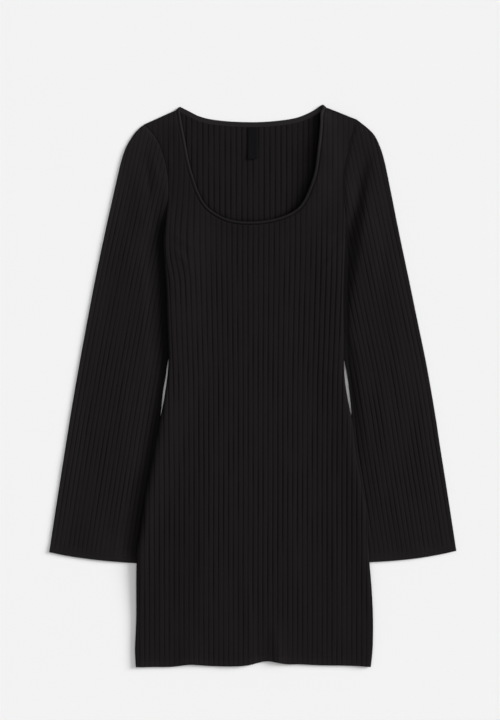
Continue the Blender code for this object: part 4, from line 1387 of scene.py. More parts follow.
@dataclass
class BackPanel:
    """The back: its outside on the floor, and its inside in sight through the neck."""

    form: BodyForm
    groove: float = 0.42
    under_round: float = 1.6
    inside_groove: float = 0.52
    inside_rise: float = 0.28
    inside_round: float = 0.9
    extent: tuple[Vector, Vector] = (Vector((-180, -421)), Vector((180, 210)))
    spacing: float = 9.0
    rows_from: float = 205.0
    in_sight: Ramp = Ramp(212, 12)
    binding: float = 5.3
    edge_rows: tuple[float, ...] = (-0.6, 0.6, 1.6, 2.6, 4.0, 6.5, 10.0)
    # painted shade on the inside near the front's neck edge, with a painted shadow cast away from the
    # light
    shaded_from: float = 225.0
    light: Pair = (0.94, 0.34)  # the way to it, across and along
    close_shade: Pair = (0.25, 0.4)  # everywhere, and more beneath the edge
    close_fade: Ramp = Ramp(0.6, 2.6)
    wide_shade: float = 0.14
    wide_fade: Ramp = Ramp(0, 11)
    cast_shade: float = 0.62
    cast_fade: Ramp = Ramp(2, 12)
    deepest: float = 0.9
    pitch: Guide = Guide([(HEM_Y, 7.38), (0, 7.42), (120, 7.8), (240, 8.3), (TOP_Y, 8.38)])
    creases: tuple[Crease, ...] = (
        Crease((-60, 392), (-70, 270), 7, 0.25, 3),
        Crease((30, 396), (44, 262), 9, 0.22, -4),
    )
    under_creases: tuple[Crease, ...] = (
        Crease((-118, 190), (-60, 120), 6, 0.3, 3),
        Crease((120, 186), (66, 96), 6, 0.3, -3),
        Crease((-96, 20), (-30, 52), 8, 0.25, 2),
        Crease((88, 10), (30, 40), 8, 0.25, -2),
        Crease((-70, -90), (-92, -380), 12, 0.3, 5),
        Crease((48, -60), (66, -390), 14, 0.3, -5),
        Crease((0, 380), (8, 240), 9, 0.25, 3),
    )

    def __post_init__(self) -> None:
        """Reads the front's neck edge, which shades the back."""
        self.edge = spaced(self.form.scoop, 2)
        self.near_edge = KDTree(len(self.edge))
        for n, point in enumerate(self.edge):
            self.near_edge.insert((point.x, point.y, 0), n)
        self.near_edge.balance()

    def seen(self, _: float, y: float) -> float:
        """How far the inside is in sight, from 0 to 1."""
        return self.in_sight(y)

    def inside(self, x: float, y: float) -> float:
        """The height of its inside."""
        level = self.form.lift(x, y) + self.form.wall + self.inside_rise
        return level + lifted(self.creases, x, y) * self.seen(x, y)

    def outside(self, x: float, y: float) -> float:
        """The height of its outside, where creases leave the floor."""
        return self.form.lift(x, y) + lifted(self.under_creases, x, y)

    def seam(self, x: float, y: float) -> float:
        """The height at which it closes."""
        return self.form.lift(x, y) + self.form.wall + self.form.gap / 2

    def shade(self, x: float, y: float) -> float:
        """How much painted shade the inside has, as from the front's neck edge: a painted shadow cast
        away from the light, and painted shade close beneath the edge.

        Args:
            x: The place across.
            y: The place along.

        Returns:
            The shade, from 0 to 1.
        """
        if y < self.shaded_from:
            return 0.0
        nearest, _, away = self.near_edge.find((x, y, 0))
        away -= self.binding
        way = (nearest.xy - Vector((x, y))).normalized()
        beside = max(0.0, self.light[0] * way.x + self.light[1] * way.y)
        usual, beneath = self.close_shade
        close = (usual + beneath * max(0.0, -way.y)) * (1 - self.close_fade(away))
        wide = self.wide_shade * (1 - self.wide_fade(away))
        cast = self.cast_shade * beside * (1 - self.cast_fade(away))
        return min(self.deepest, close + (wide + cast))

    def sparse_rows(self, x: float) -> list[float]:
        """The heights of the points along a rib of the outside."""
        edge = self.form.hem_y(x)
        return [edge + 4 * k for k in range(5)] + [edge + 32 + k * 17 for k in range(49)]

    def build(self) -> bpy.types.Object:
        """Makes the piece."""
        form = self.form
        near_neck = [y for y in form.rows(0) if y > self.rows_from]
        in_sight = Ribbing(
            middle_line, self.pitch, -16, 17, lambda x: near_neck, self.seen, self.inside_groove
        )
        under = Ribbing(
            middle_line, self.pitch, -25, 26, self.sparse_rows, form.rib_strength, self.groove,
            offset=0.5,
        )
        places = grid(*self.extent, self.spacing)
        for distance in self.edge_rows:
            places += shifted(self.edge, self.binding + distance)
        upper = Skin(self.inside, in_sight, places=places, rounding=self.inside_round)
        lower = Skin(self.outside, under, bulge=-1, rounding=self.under_round)
        cloth = Cloth(shade=self.shade)
        cloth.layer(form.back_edge, upper, lower, self.seam)
        piece = cloth.build("back_cloth")
        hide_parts("back_panel")
        return piece


# The sleeves.


@dataclass(kw_only=True)
class Sleeve:
    """One sleeve, a flattened tube, worked out on the +X side and mirrored for the other."""

    form: BodyForm
    side: int
    name: str
    creases: tuple[Crease, ...]
    wall: float = 1.05
    rib: float = 0.65
    hollow: float = 0.15
    least_room: float = 0.3
    pitch: float = 6.85
    slant: float = 0.2125
    straight: float = 232.0
    underarm: float = 220.0
    edge_round: float = 1.8
    ribs_from_seam: float = 5.5
    strip_start: float = 45.0
    strip_end: Ramp = Ramp(-110, 50)
    strip: Guide = Guide([(0, 0.1), (2.0, 0.0), (3.5, 0.1), (5.4, 0.5), (7.5, 0.1), (9.0, 0.0)])
    turning: Turning = Turning(11.5, (7.4, 10.4))
    turned_strength: float = 0.35
    turned_ease: Ramp = Ramp(-1, 4)
    cuff_rows: tuple[float, ...] = (
        0, 2.2, 4.4, 6.0, 6.8, 7.4, 8.0, 8.9, 9.8, 10.4, 11.0, 12, 13.4, 16, 20,
    )
    rows_start: float = 26.0
    rows_reach: float = 640.0
    row_step: float = 7.5
    under_groove: float = 0.42
    under_row_step: float = 16.0
    roundings: tuple[float, float, float] = (1.2, 0.6, 1.8)  # ceiling, floor and underside
    extent: tuple[Vector, Vector] = (Vector((125, -265)), Vector((306, 398)))
    spacing: float = 9.0
    hidden: Pair = (-50.0, 222.0)  # between these places the body lies over the inner edge
    tuck: float = 2.2
    tucks: Guide = Guide([(38, 0.0), (50, 0.85), (55, 1.0), (196, 1.0), (214, 0.4), (222, 0.0)])
    parting: Guide = Guide([
        (-50, 0.0), (-38, 0.6), (-10, 1.45), (12, 1.2), (26, 0.7), (38, 0.0),
    ])
    trough: Guide = Guide([(-265, 15.0), (200, 17.0), (220, 16.0), (243, 11.0), (285, 6.0)])
    sink_depth: Guide = Guide([(250, 1.0), (268, 0.8), (288, 0.0)])
    near_side: Ramp = Ramp(20.0, 8.0)
    far_side: Ramp = Ramp(0.0, 20.0)
    bank_height: Guide = Guide([(-265, 0.6), (200, 1.0), (280, 0.5), (300, 0.0)])
    bank_width: Guide = Guide([(-265, 22.0), (300, 20.0)])
    fold_clear: float = 4.0
    shortest_slope: float = 10.0
    seam_rise: Guide = Guide([(0, 0.0), (1, 0.0)])
    seam_ease: Ramp = Ramp(-2, 8)
    edge_ease: float = 20.0
    waver: float = 0.2
    waver_size: float = 34.0
    # painted shade in the fold beside the body
    fold_shade: Guide = Guide([
        (-265, 0.4), (-120, 0.4), (-60, 0.5), (40, 0.7), (200, 0.75), (243, 0.68), (262, 0.32),
        (280, 0.14), (305, 0.0),
    ])
    fold_start: Guide = Guide([(-265, 6.5), (-110, 6.5), (-40, 4.0), (60, 3.5), (280, 3.0)])
    fold_width: Guide = Guide([
        (-265, 22.0), (-240, 25.0), (-205, 38.0), (-165, 32.0), (-110, 15.0), (200, 13.0),
        (232, 17.0), (262, 24.0), (305, 24.0),
    ])
    rib_depth: Guide = Guide([
        (-265, 0.5), (-218, 0.64), (-182, 0.82), (-75, 0.9), (0, 0.85), (70, 0.77),
        (180, 0.76), (250, 0.76), (290, 0.65), (400, 0.6),
    ])
    seam_height: float = 1.05
    # painted light: paler towards the fold, the cuff and the shoulder
    least_painted_light: float = 0.06
    fold_painted_light: float = 0.8
    fold_painted_light_fade: Ramp = Ramp(0, 34)
    cuff_painted_light: float = 0.5
    cuff_painted_light_fade: Ramp = Ramp(0, 26)
    cap_painted_light: float = 0.4
    cap_painted_light_start: Ramp = Ramp(225, 90)
    cap_painted_light_fade: Ramp = Ramp(0, 68)
    # painted shade near the upper arm's outer edge, and along some creases
    outer_shade: float = 0.0
    outer_shade_fade: Ramp = Ramp(6, 30)
    upper_arm: tuple[Ramp, Ramp] = (Ramp(160, 60), Ramp(325, 40))
    painted_shade_creases: tuple[Crease, ...] = ()
    deepest: float = 0.9
    puff: float = 1.3
    lofts: tuple[Loft, ...] = (
        Loft(168, 300, 1.6, 32, 95),
        Loft(188, 180, 1.1, 42, 120),
        Loft(212, 10, 0.8, 55, 150),
        Loft(240, -240, 1.5, 34, 60),
    )
    under_creases: tuple[Crease, ...] = (
        Crease((160, 300), (190, 200), 6, 0.3, 3),
        Crease((205, 160), (228, -20), 9, 0.3, -4),
        Crease((176, 60), (196, -110), 8, 0.25, 3),
        Crease((236, -60), (262, -235), 9, 0.3, 4),
    )

    def __post_init__(self) -> None:
        """Reads the outline and its edges."""
        finishes = (Finish.TURNED, Finish.SEWN, Finish.SEWN)
        self.outline = Outline(self.name, finishes, self.side)
        self.cuff, fold, inner = self.outline.stretches
        self.cuff_y = Guide([(point.x, point.y) for point in self.cuff])
        self.fold_x = Guide([(point.y, point.x) for point in fold])
        self.inner_x = Guide([(point.y, point.x) for point in inner])
        self.body_x = self.form.right_x
        if self.side < 0:
            left = self.form.left_x
            self.body_x = Guide([(key, -value) for key, value in zip(left.keys, left.values)])
        self.outline.move(self.under_body)

    def under_body(self, point: Vector) -> float:
        """How far a point of the inner edge moves so that the body's edge lies on it.

        Args:
            point: A point of the outline.

        Returns:
            The distance across, below zero towards the body.
        """
        low, high = self.hidden
        if not low < point.y < high or abs(point.x - self.inner_x(point.y)) > 2:
            return 0.0
        under = self.tucks(point.y) * (self.inner_x(point.y) - self.body_x(point.y) + self.tuck)
        return max(0.0, self.parting(point.y)) - max(0.0, under)

    def centre(self, y: float) -> float:
        """The place of the first rib line, which follows the fold and runs straight on above it."""
        return self.fold_x(min(y, self.straight)) - self.slant * max(0.0, y - self.straight)

    def even_pitch(self, _: float) -> float:
        """The ribs' pitch, the same all along."""
        return self.pitch

    def from_body(self, x: float, y: float) -> float:
        """How far a place is from where the sleeve comes out from the body."""
        inner = self.inner_x(y)
        return x - (inner if y > self.underarm else max(inner, self.body_x(y)))

    def from_trough(self, x: float, y: float) -> float:
        """How far a place is beyond the trough beside the body."""
        return self.from_body(x, y) - self.trough(y)

    def sink(self, x: float, y: float) -> float:
        """The share of its fullness that the cloth loses around the trough."""
        away = self.from_trough(x, y)
        side = self.far_side if away > 0 else self.near_side
        return max(0.0, self.sink_depth(y)) * (1 - side(abs(away)))

    def bank(self, x: float, y: float) -> float:
        """How high the cloth rises beyond the trough, before it falls to the fold.

        Args:
            x: The place across.
            y: The place along.

        Returns:
            The rise there.
        """
        away = self.from_trough(x, y)
        width = self.bank_width(y)
        beyond = self.fold_x(y) - x + away - width - self.fold_clear
        fall = 1 - smoothstep((away - width) / max(self.shortest_slope, beyond))
        return max(0.0, self.bank_height(y)) * smoothstep(away / width) * fall

    def ceiling(self, x: float, y: float) -> float:
        """The height of the upper layer's inside: its fullness, creases, bank and seam.

        Args:
            x: The place across.
            y: The place along.

        Returns:
            The height, in millimetres.
        """
        inward = x - self.inner_x(y)
        near = smoothstep(min(self.fold_x(y) - x, y - self.cuff_y(x)) / self.edge_ease)
        puff = (lifted(self.lofts, x, y) + self.puff) * near
        puff = puff * (1 - self.sink(x, y)) + lifted(self.creases, x, y)
        puff += self.waver * (1 + uneven(x, y, self.waver_size, 4.1 + self.side))
        seam = self.seam_ease(inward) if y > self.underarm else 1.0
        slope = max(self.shortest_slope, self.trough(y))
        rise = max(0.0, self.seam_rise(y)) * (1 - smoothstep(inward / slope))
        room = self.hollow + puff * seam + self.bank(x, y) + rise
        return self.wall + max(self.least_room, room)

    def shade(self, x: float, y: float) -> float:
        """How much painted shade the cloth has: in the fold beside the body, along some creases, and
        near the upper arm's outer edge.

        Args:
            x: The place across.
            y: The place along.

        Returns:
            The shade, from 0 to 1.
        """
        away = (self.from_body(x, y) - self.fold_start(y)) / self.fold_width(y)
        inner = max(0.0, self.fold_shade(y)) * (1 - smoothstep(away))
        start, end = self.upper_arm
        upper = start(y) * (1 - end(y))
        outer = self.outer_shade * upper * (1 - self.outer_shade_fade(self.fold_x(y) - x))
        return min(self.deepest, inner + outer + lifted(self.painted_shade_creases, x, y))

    def pale(self, x: float, y: float) -> float:
        """How much painted light makes the cloth paler: more towards its outer edges and over the
        shoulder.

        Args:
            x: The place across.
            y: The place along.

        Returns:
            The share of painted light, from 0 to 1.
        """
        inward = self.fold_x(y) - x
        fold = self.fold_painted_light * (1 - self.fold_painted_light_fade(inward))
        cuff = self.cuff_painted_light * (1 - self.cuff_painted_light_fade(y - self.cuff_y(x)))
        cap = self.cap_painted_light_start(y) * (1 - self.cap_painted_light_fade(inward))
        return min(1.0, self.least_painted_light + max(fold, cuff) + self.cap_painted_light * cap)

    def ribs_start(self, y: float) -> float:
        """How far from the underarm seam the ribs start."""
        grown = smoothstep((self.underarm - y) / self.strip_start)
        return mixed(self.edge_round, self.ribs_from_seam, grown)

    def strength(self, x: float, y: float) -> float:
        """How deep the grooves are: none beside the seam, less in the turned cuff.

        Args:
            x: The place across.
            y: The place along.

        Returns:
            The share of the usual depth.
        """
        from_seam = smoothstep((x - self.inner_x(y) - self.ribs_start(y) + 0.8) / 1.8)
        past_cuff = self.turned_ease(y - self.cuff_y(x) - self.turning.depth)
        return from_seam * mixed(self.turned_strength, 1.0, past_cuff) * self.rib_depth(y)

    def seam_strip(self, x: float, y: float) -> float:
        """How far the cloth sinks in the valley beside the underarm seam's raised strip."""
        fade = self.strip_end(y) * smoothstep((self.underarm - y) / self.strip_start)
        return self.strip(x - self.inner_x(y)) * fade if fade else 0.0

    def outside(self, x: float, y: float) -> float:
        """The height of the upper layer's ribs."""
        top = self.ceiling(x, y) + self.wall + self.rib
        return top + self.turning.rise(y - self.cuff_y(x)) - self.seam_strip(x, y)

    def floor(self, _x: float, _y: float) -> float:
        """The height of the lower layer's inside."""
        return self.wall

    def underside(self, x: float, y: float) -> float:
        """The height of the lower layer's outside, where creases leave the floor."""
        return lifted(self.under_creases, x, y)

    def closed(self, _x: float, _y: float) -> float:
        """The height of the folded edges."""
        return self.wall + self.hollow / 2

    def joined(self, x: float, y: float) -> float:
        """The height of the upper layer's edge, which rises to the seam beside the body."""
        sewn = self.ceiling(x, y) + self.seam_height
        return mixed(self.closed(x, y), sewn, smoothstep((x - self.inner_x(y)) / -9 + 1.2))

    def rows(self, close: Sequence[float], step: float) -> Callable[[float], list[float]]:
        """Where the points along the ribs lie.

        Args:
            close: Their distances from the cuff's edge, near it.
            step: How far apart they are above that.

        Returns:
            What gives their heights on a rib that starts at a place.
        """
        count = round(self.rows_reach / step)

        def heights(x: float) -> list[float]:
            """The heights of the points along a rib."""
            edge = self.cuff_y(x)
            above = [edge + self.rows_start + k * step for k in range(count)]
            return [edge + row for row in close] + above

        return heights

    def build(self) -> bpy.types.Object:
        """Makes the piece."""
        ribs = (self.centre, self.even_pitch, -2, 27)
        rows = self.rows(self.cuff_rows, self.row_step)
        top = Ribbing(*ribs, rows, self.strength, direction=-1, seed=6.5 * self.side)
        rows = self.rows(self.cuff_rows[::4], self.under_row_step)
        under = Ribbing(*ribs, rows, self.strength, self.under_groove, direction=-1)
        spots = grid(*self.extent, self.spacing)
        inner, floor, outer = self.roundings
        cloth = Cloth(self.side, self.pale, self.shade)
        ceiling = Skin(self.ceiling, bulge=-1, places=spots, rounding=inner)
        cloth.layer(self.outline, Skin(self.outside, top), ceiling, self.joined)
        upper = Skin(self.floor, places=spots, rounding=floor)
        below = Skin(self.underside, under, bulge=-1, rounding=outer)
        cloth.layer(self.outline, upper, below, self.closed)
        piece = cloth.build(self.name + "_cloth")
        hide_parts(self.name)
        return piece


@dataclass(kw_only=True)
class LeftSleeve(Sleeve):
    """The sleeve on the -X side, with a deep narrow fold beside the body."""

    side: int = -1
    name: str = "sleeve_left"
    creases: tuple[Crease, ...] = (
        Crease((155, 364), (138, 286), 5.5, 1.2, 2),
        Crease((163, 350), (152, 262), 4.5, -0.9, 2),
        Crease((176, 346), (158, 226), 8.0, 0.5, -4),
        Crease((198, 262), (184, 140), 9.0, 0.6, 4),
        Crease((158, 206), (170, 60), 6.5, 0.68, 3),
        Crease((220, 140), (240, -90), 12.0, 0.52, -4),
        Crease((190, 40), (204, -140), 9.0, 0.6, 3),
        Crease((256, -20), (276, -230), 10.0, 0.6, -3),
        Crease((196, -150), (206, -258), 8.0, 0.6, -2),
    )
    painted_shade_creases: tuple[Crease, ...] = (Crease((160, 356), (150, 258), 4.5, 0.22, 2),)


@dataclass(kw_only=True)
class RightSleeve(Sleeve):
    """The sleeve on the +X side, which rises in a wide bank beyond its trough."""

    side: int = 1
    name: str = "sleeve_right"
    creases: tuple[Crease, ...] = (
        Crease((169, 346), (148, 240), 5.0, -0.6, -5),
        Crease((196, 250), (176, 130), 8.0, 0.6, 4),
        Crease((214, 150), (232, -70), 12.0, 0.52, 4),
        Crease((186, 60), (206, -150), 10.0, 0.52, -4),
        Crease((250, 20), (268, -210), 10.0, 0.52, 3),
        Crease((214, -130), (226, -256), 9.0, 0.68, 2),
    )
    # painted shade: a faint wide dimming and a dark streak
    painted_shade_creases: tuple[Crease, ...] = (
        Crease((196, 200), (212, -70), 30.0, 0.07),
        Crease((200, 268), (206, 40), 7.0, 0.12),
    )
    # little painted light on this sleeve
    fold_painted_light: float = 0.05
    cap_painted_light: float = 0.0
    outer_shade: float = 0.15
    seam_height: float = 1.5
    seam_rise: Guide = RIGHT_ARMHOLE
    near_side: Ramp = Ramp(0.0, 13.0)
    far_side: Ramp = Ramp(0.0, 22.0)
    parting: Guide = Guide([
        (-56, 0.0), (-46, 0.6), (-36, 1.5), (-20, 1.4), (4, 1.9), (16, 1.5), (26, 0.9), (38, 0.0),
    ])
    fold_start: Guide = Guide([(-265, 3.0), (280, 3.0)])
    fold_width: Guide = Guide([(60, 13.0), (120, 18.0), (160, 32.0), (230, 34.0), (285, 30.0)])
    fold_shade: Guide = Guide([
        (-120, 0.0), (-40, 0.3), (60, 0.3), (160, 0.36), (225, 0.36), (255, 0.2), (285, 0.0),
    ])
    trough: Guide = Guide([
        (150, 0.0), (195, 1.0), (220, 2.0), (242, 8.0), (257, 12.5), (271, 17.5), (295, 22.0),
        (325, 26.0), (345, 28.0),
    ])
    sink_depth: Guide = Guide([
        (-265, 0.1), (-160, 0.3), (-110, 0.6), (-60, 1.0), (295, 0.9), (325, 0.6), (350, 0.0),
    ])
    bank_height: Guide = Guide([
        (-265, 0.2), (-160, 0.8), (-95, 1.5), (-20, 3.2), (40, 3.4), (85, 2.0), (130, 2.7),
        (160, 4.2), (190, 5.4), (220, 6.6), (242, 6.4), (271, 4.8), (295, 3.4), (325, 1.7),
        (350, 0.0),
    ])
    bank_width: Guide = Guide([
        (-265, 30.0), (-95, 26.0), (-20, 20.0), (40, 24.0), (85, 10.0), (130, 13.0), (160, 18.0),
        (190, 22.0), (220, 25.0), (242, 20.0), (271, 15.0), (295, 15.0), (350, 13.0),
    ])
    lofts: tuple[Loft, ...] = (
        Loft(196, 320, 1.2, 30, 90),
        Loft(212, 10, 0.8, 55, 150),
        Loft(240, -240, 1.5, 34, 60),
    )


# The neck.


class Station(NamedTuple):
    """A point of the binding's section: its shares across and through it, and of the light."""

    across: float
    through: float
    air: float


@dataclass
class NeckBand:
    """The binding, one ring that folds over at the neck points."""

    form: BodyForm
    front_size: Pair = (5.0, 2.2)  # width and thickness
    back_size: Pair = (7.0, 1.6)
    mitre: float = 7.6
    lift: Ramp = Ramp(385, 18)
    step: float = 2.6
    overlap: float = 0.7
    fold_turns: int = 12
    open_air: Pair = (0.12, 0.8)  # how much the profile's air counts less, low and high
    open_rise: Ramp = Ramp(262, 50)
    # painted light, low and high
    painted_light_strengths: Pair = (0.25, 0.75)
    painted_light_rise: Ramp = Ramp(300, 70)
    profile: tuple[Station, ...] = (
        Station(0.0, 0.46, 0.0),
        Station(0.03, 0.22, 0.3),
        Station(0.13, 0.02, 0.8),
        Station(0.30, 0.0, 1.0),
        Station(0.50, 0.16, 0.75),
        Station(0.80, 0.04, 1.0),
        Station(0.97, 0.14, 1.0),
        Station(1.0, 0.26, 0.6),
        Station(0.97, 0.36, 0.3),
        Station(0.88, 0.38, 0.2),
        Station(0.76, 0.40, 0.25),
        Station(0.66, 0.62, 0.7),
        Station(0.54, 0.92, 1.0),
        Station(0.38, 1.0, 1.0),
        Station(0.20, 0.93, 1.0),
        Station(0.08, 0.78, 0.6),
        Station(0.02, 0.62, 0.1),
    )

    def __post_init__(self) -> None:
        """Starts an empty ring."""
        self.cloth = Cloth(pale=self.pale)
        self.rings: list[list[int]] = []
        self.travelled = 0.0

    def pale(self, _: float, y: float) -> float:
        """How much painted light makes it paler: more towards the neck points."""
        return mixed(*self.painted_light_strengths, self.painted_light_rise(y))

    def back_base(self, _x: float, _y: float) -> float:
        """The height of its underside on the back."""
        return 0.0

    def front_base(self, x: float, y: float) -> float:
        """The height of its underside on the front, clear of the back binding below it."""
        level = self.form.front(x, y)
        clear = self.back_size[1] + 2 * self.form.gap
        return max(level, mixed(level, clear, self.lift(y)))

    def corner(self, point: Vector, height: float, n: int, width: float) -> int:
        """Adds a corner and its place on the weave.

        Args:
            point: The corner's place.
            height: Its height.
            n: Its number in the profile.
            width: The binding's width there.

        Returns:
            The corner's number.
        """
        across = width * n / len(self.profile) * 2
        # the profile's air is the rib attribute that sets the binding's painted shade in its
        # undercuts
        air = mixed(self.profile[n].air, 1.0, mixed(*self.open_air, self.open_rise(point.y)))
        number = self.cloth.corner(point.x, point.y, height, air, across)
        self.cloth.weave[number] = (self.cloth.weave[number][0], self.travelled * MM)
        return number

    def run(
        self, path: list[Vector], beside: list[Vector], size: Pair, base: Height, turn: int
    ) -> None:
        """Adds sections along a path.

        Args:
            path: The path of the opening's edge, with its ends left out.
            beside: The points that the binding's width goes towards.
            size: Its width and thickness.
            base: The height of its underside.
            turn: -1 where the knit's right side looks down.
        """
        width, thickness = size
        for n, (place, other) in enumerate(zip(path, beside)):
            if n:
                self.travelled += (place - path[n - 1]).length
            way = (other - place).normalized()
            ring = []
            for k, station in enumerate(self.profile):
                point = place + way * ((width + self.overlap) * station.across)
                rise = thickness * (station.through if turn > 0 else 1 - station.through)
                ring.append(self.corner(point, base(*point) + rise, k, width))
            self.rings.append(ring)

    def fold(self, side: int, downward: bool) -> None:
        """Adds the sections that turn the binding over at a neck point.

        Args:
            side: -1 on the left, 1 on the right.
            downward: Whether the sections run from the front down to the back.
        """
        seam = self.form.right_shoulder if side > 0 else self.form.left_shoulder[::-1]
        tip, neck = seam[0], seam[-1]
        way = (tip - neck).normalized()
        start = neck - way * (self.mitre + self.form.gap)
        outward = right_of(way) * -side
        high = self.front_base(*neck) + self.front_size[1] / 2
        low = self.back_size[1] / 2
        centre, radius = (high + low) / 2, (high - low) / 2
        for k in range(self.fold_turns + 1):
            share = k / self.fold_turns if downward else 1 - k / self.fold_turns
            angle = math.pi * share
            thickness = mixed(self.front_size[1], self.back_size[1], share)
            ring = []
            for n, station in enumerate(self.profile):
                arm = radius + thickness * (station.through - 0.5)
                point = start + way * (self.mitre * station.across)
                point += outward * (arm * math.sin(angle))
                ring.append(self.corner(point, centre + arm * math.cos(angle), n, self.mitre))
            self.travelled += math.pi * radius / self.fold_turns
            self.rings.append(ring)

    def opening(self, seam_edge: list[Vector], width: float, turn: int) -> list[Vector]:
        """The opening's edge, a binding's width in from the panel's edge."""
        return shifted(seam_edge, turn * (width + self.form.gap))[1:-1]

    def build(self) -> bpy.types.Object:
        """Makes the piece."""
        scoop = spaced(self.form.scoop[::-1], self.step)
        nape = spaced(self.form.nape[::-1], self.step)[::-1]
        front = self.opening(scoop, self.front_size[0], -1)
        back = self.opening(nape, self.back_size[0], 1)
        self.fold(-1, downward=False)
        self.run(front, scoop[1:-1], self.front_size, self.front_base, 1)
        self.fold(1, downward=True)
        self.run(back, nape[1:-1], self.back_size, self.back_base, -1)
        for n, ring in enumerate(self.rings):
            before = self.rings[n - 1]
            for k, corner in enumerate(ring):
                self.cloth.face([corner, ring[k - 1], before[k - 1], before[k]], up=True)
        piece = self.cloth.build("neck_binding")
        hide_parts("neck_band")
        return piece


@dataclass
class Label:
    """A bare satin label that hangs from the back binding, its free end curling up a little."""

    width: float = 13.6
    top: float = 388.6
    length: float = 47.5
    base: float = 1.75
    curl: float = 1.1
    thickness: float = 0.55
    turned_end: float = 5.0
    turned_slope: float = 0.8
    cup: float = 0.35
    ripple: Pair = (0.08, 9.0)  # its height, and its waves over the length in radians
    soft_edge: float = 0.12
    rows: int = 24
    columns: int = 8

    def height(self, across: float, along: float) -> float:
        """The height of its middle layer.

        Args:
            across: The share of its width from the middle, half at an edge.
            along: The share of its length from the top.

        Returns:
            The height, in millimetres.
        """
        cup = self.cup * (2 * across) ** 2 * along
        past_fold = along * self.length - self.length + self.turned_end
        turned = self.thickness * smoothstep(past_fold / self.turned_slope)
        ripple = self.ripple[0] * math.sin(along * self.ripple[1])
        return self.base + self.curl * along * along + cup + turned * 0.5 + ripple

    def build(self) -> bpy.types.Object:
        """Makes the piece."""
        bpy.ops.object.select_all(action="DESELECT")
        bpy.ops.mesh.primitive_grid_add(
            x_subdivisions=self.columns, y_subdivisions=self.rows, size=1
        )
        piece = bpy.context.active_object
        piece.name = piece.data.name = "bare_label"
        for corner in piece.data.vertices:
            across, along = corner.co.x, 0.5 - corner.co.y
            x, y = across * self.width, self.top - along * self.length
            corner.co = (x * MM, y * MM, self.height(across, along) * MM)
        weave = piece.data.uv_layers[0]
        weave.name = WEAVE
        for loop in piece.data.loops:
            place = piece.data.vertices[loop.vertex_index].co
            weave.data[loop.index].uv = (place.x, place.y)
        wall = piece.modifiers.new("wall", "SOLIDIFY")
        wall.thickness = self.thickness * MM
        wall.offset = 1.0
        edge = piece.modifiers.new("edge", "BEVEL")
        edge.width = self.soft_edge * MM
        edge.segments = 2
        for modifier in ("wall", "edge"):
            bpy.ops.object.modifier_apply(modifier=modifier)
        bpy.ops.object.shade_smooth()
        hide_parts("label")
        return piece


# Sewing.


@dataclass
class Seamwork:
    """Short stitches in rows, each a small capsule that lies on the cloth."""

    name: str
    length: float = 2.3
    pitch: float = 3.1
    thick: float = 0.42
    rise: float = 0.08

    def __post_init__(self) -> None:
        """Models one stitch and starts an empty piece."""
        bpy.ops.object.select_all(action="DESELECT")
        bpy.ops.mesh.primitive_uv_sphere_add(segments=8, ring_count=6, radius=1.0)
        self.pattern = bpy.context.active_object
        self.pattern.rotation_euler = (0, math.pi / 2, 0)
        self.pattern.scale = (self.thick * MM / 2, self.thick * MM / 2, self.length * MM / 2)
        bpy.ops.object.transform_apply(location=False, rotation=True, scale=True)
        self.work = bmesh.new()

    def row(self, path: Sequence[Vector], surface: Height, side: int = 1) -> None:
        """Adds a row of stitches.

        Args:
            path: The line that they follow.
            surface: The height of the cloth there.
            side: -1 mirrors them across the middle line.
        """
        places = spaced(path, self.pitch)
        for a, b in zip(places, places[1:]):
            middle = (a + b) / 2
            ends = [Vector((p.x * side, p.y, surface(*p))) for p in (a, b)]
            way = (ends[1] - ends[0]).normalized()
            turn = Vector((1, 0, 0)).rotation_difference(way).to_matrix().to_4x4()
            height = surface(*middle) + self.rise
            spot = Vector((middle.x * side, middle.y, height)) * MM
            first = len(self.work.verts)
            self.work.from_mesh(self.pattern.data)
            self.work.verts.ensure_lookup_table()
            move = Matrix.Translation(spot) @ turn
            bmesh.ops.transform(self.work, matrix=move, verts=self.work.verts[first:])

    def build(self) -> bpy.types.Object:
        """Makes the piece and removes the pattern."""
        mesh = bpy.data.meshes.new(self.name)
        self.work.to_mesh(mesh)
        self.work.free()
        mesh.shade_smooth()
        piece = bpy.data.objects.new(self.name, mesh)
        bpy.context.scene.collection.objects.link(piece)
        bpy.data.objects.remove(self.pattern, do_unlink=True)
        return piece


# The studio.


@dataclass(frozen=True)
class Lamp:
    """A large soft light, far away."""

    name: str
    bearing: float
    elevation: float
    spread: float
    strength: float

    def build(self) -> None:
        """Makes the light, aimed at the middle of the dress."""
        light = bpy.data.lights.new(self.name, "SUN")
        light.angle = math.radians(self.spread)
        light.energy = self.strength
        lamp = bpy.data.objects.new(self.name, light)
        bearing, elevation = math.radians(self.bearing), math.radians(self.elevation)
        level = math.cos(elevation)
        lamp.location = (level * math.cos(bearing), level * math.sin(bearing), math.sin(elevation))
        lamp.rotation_euler = (-lamp.location).to_track_quat("-Z", "Y").to_euler()
        bpy.context.scene.collection.objects.link(lamp)


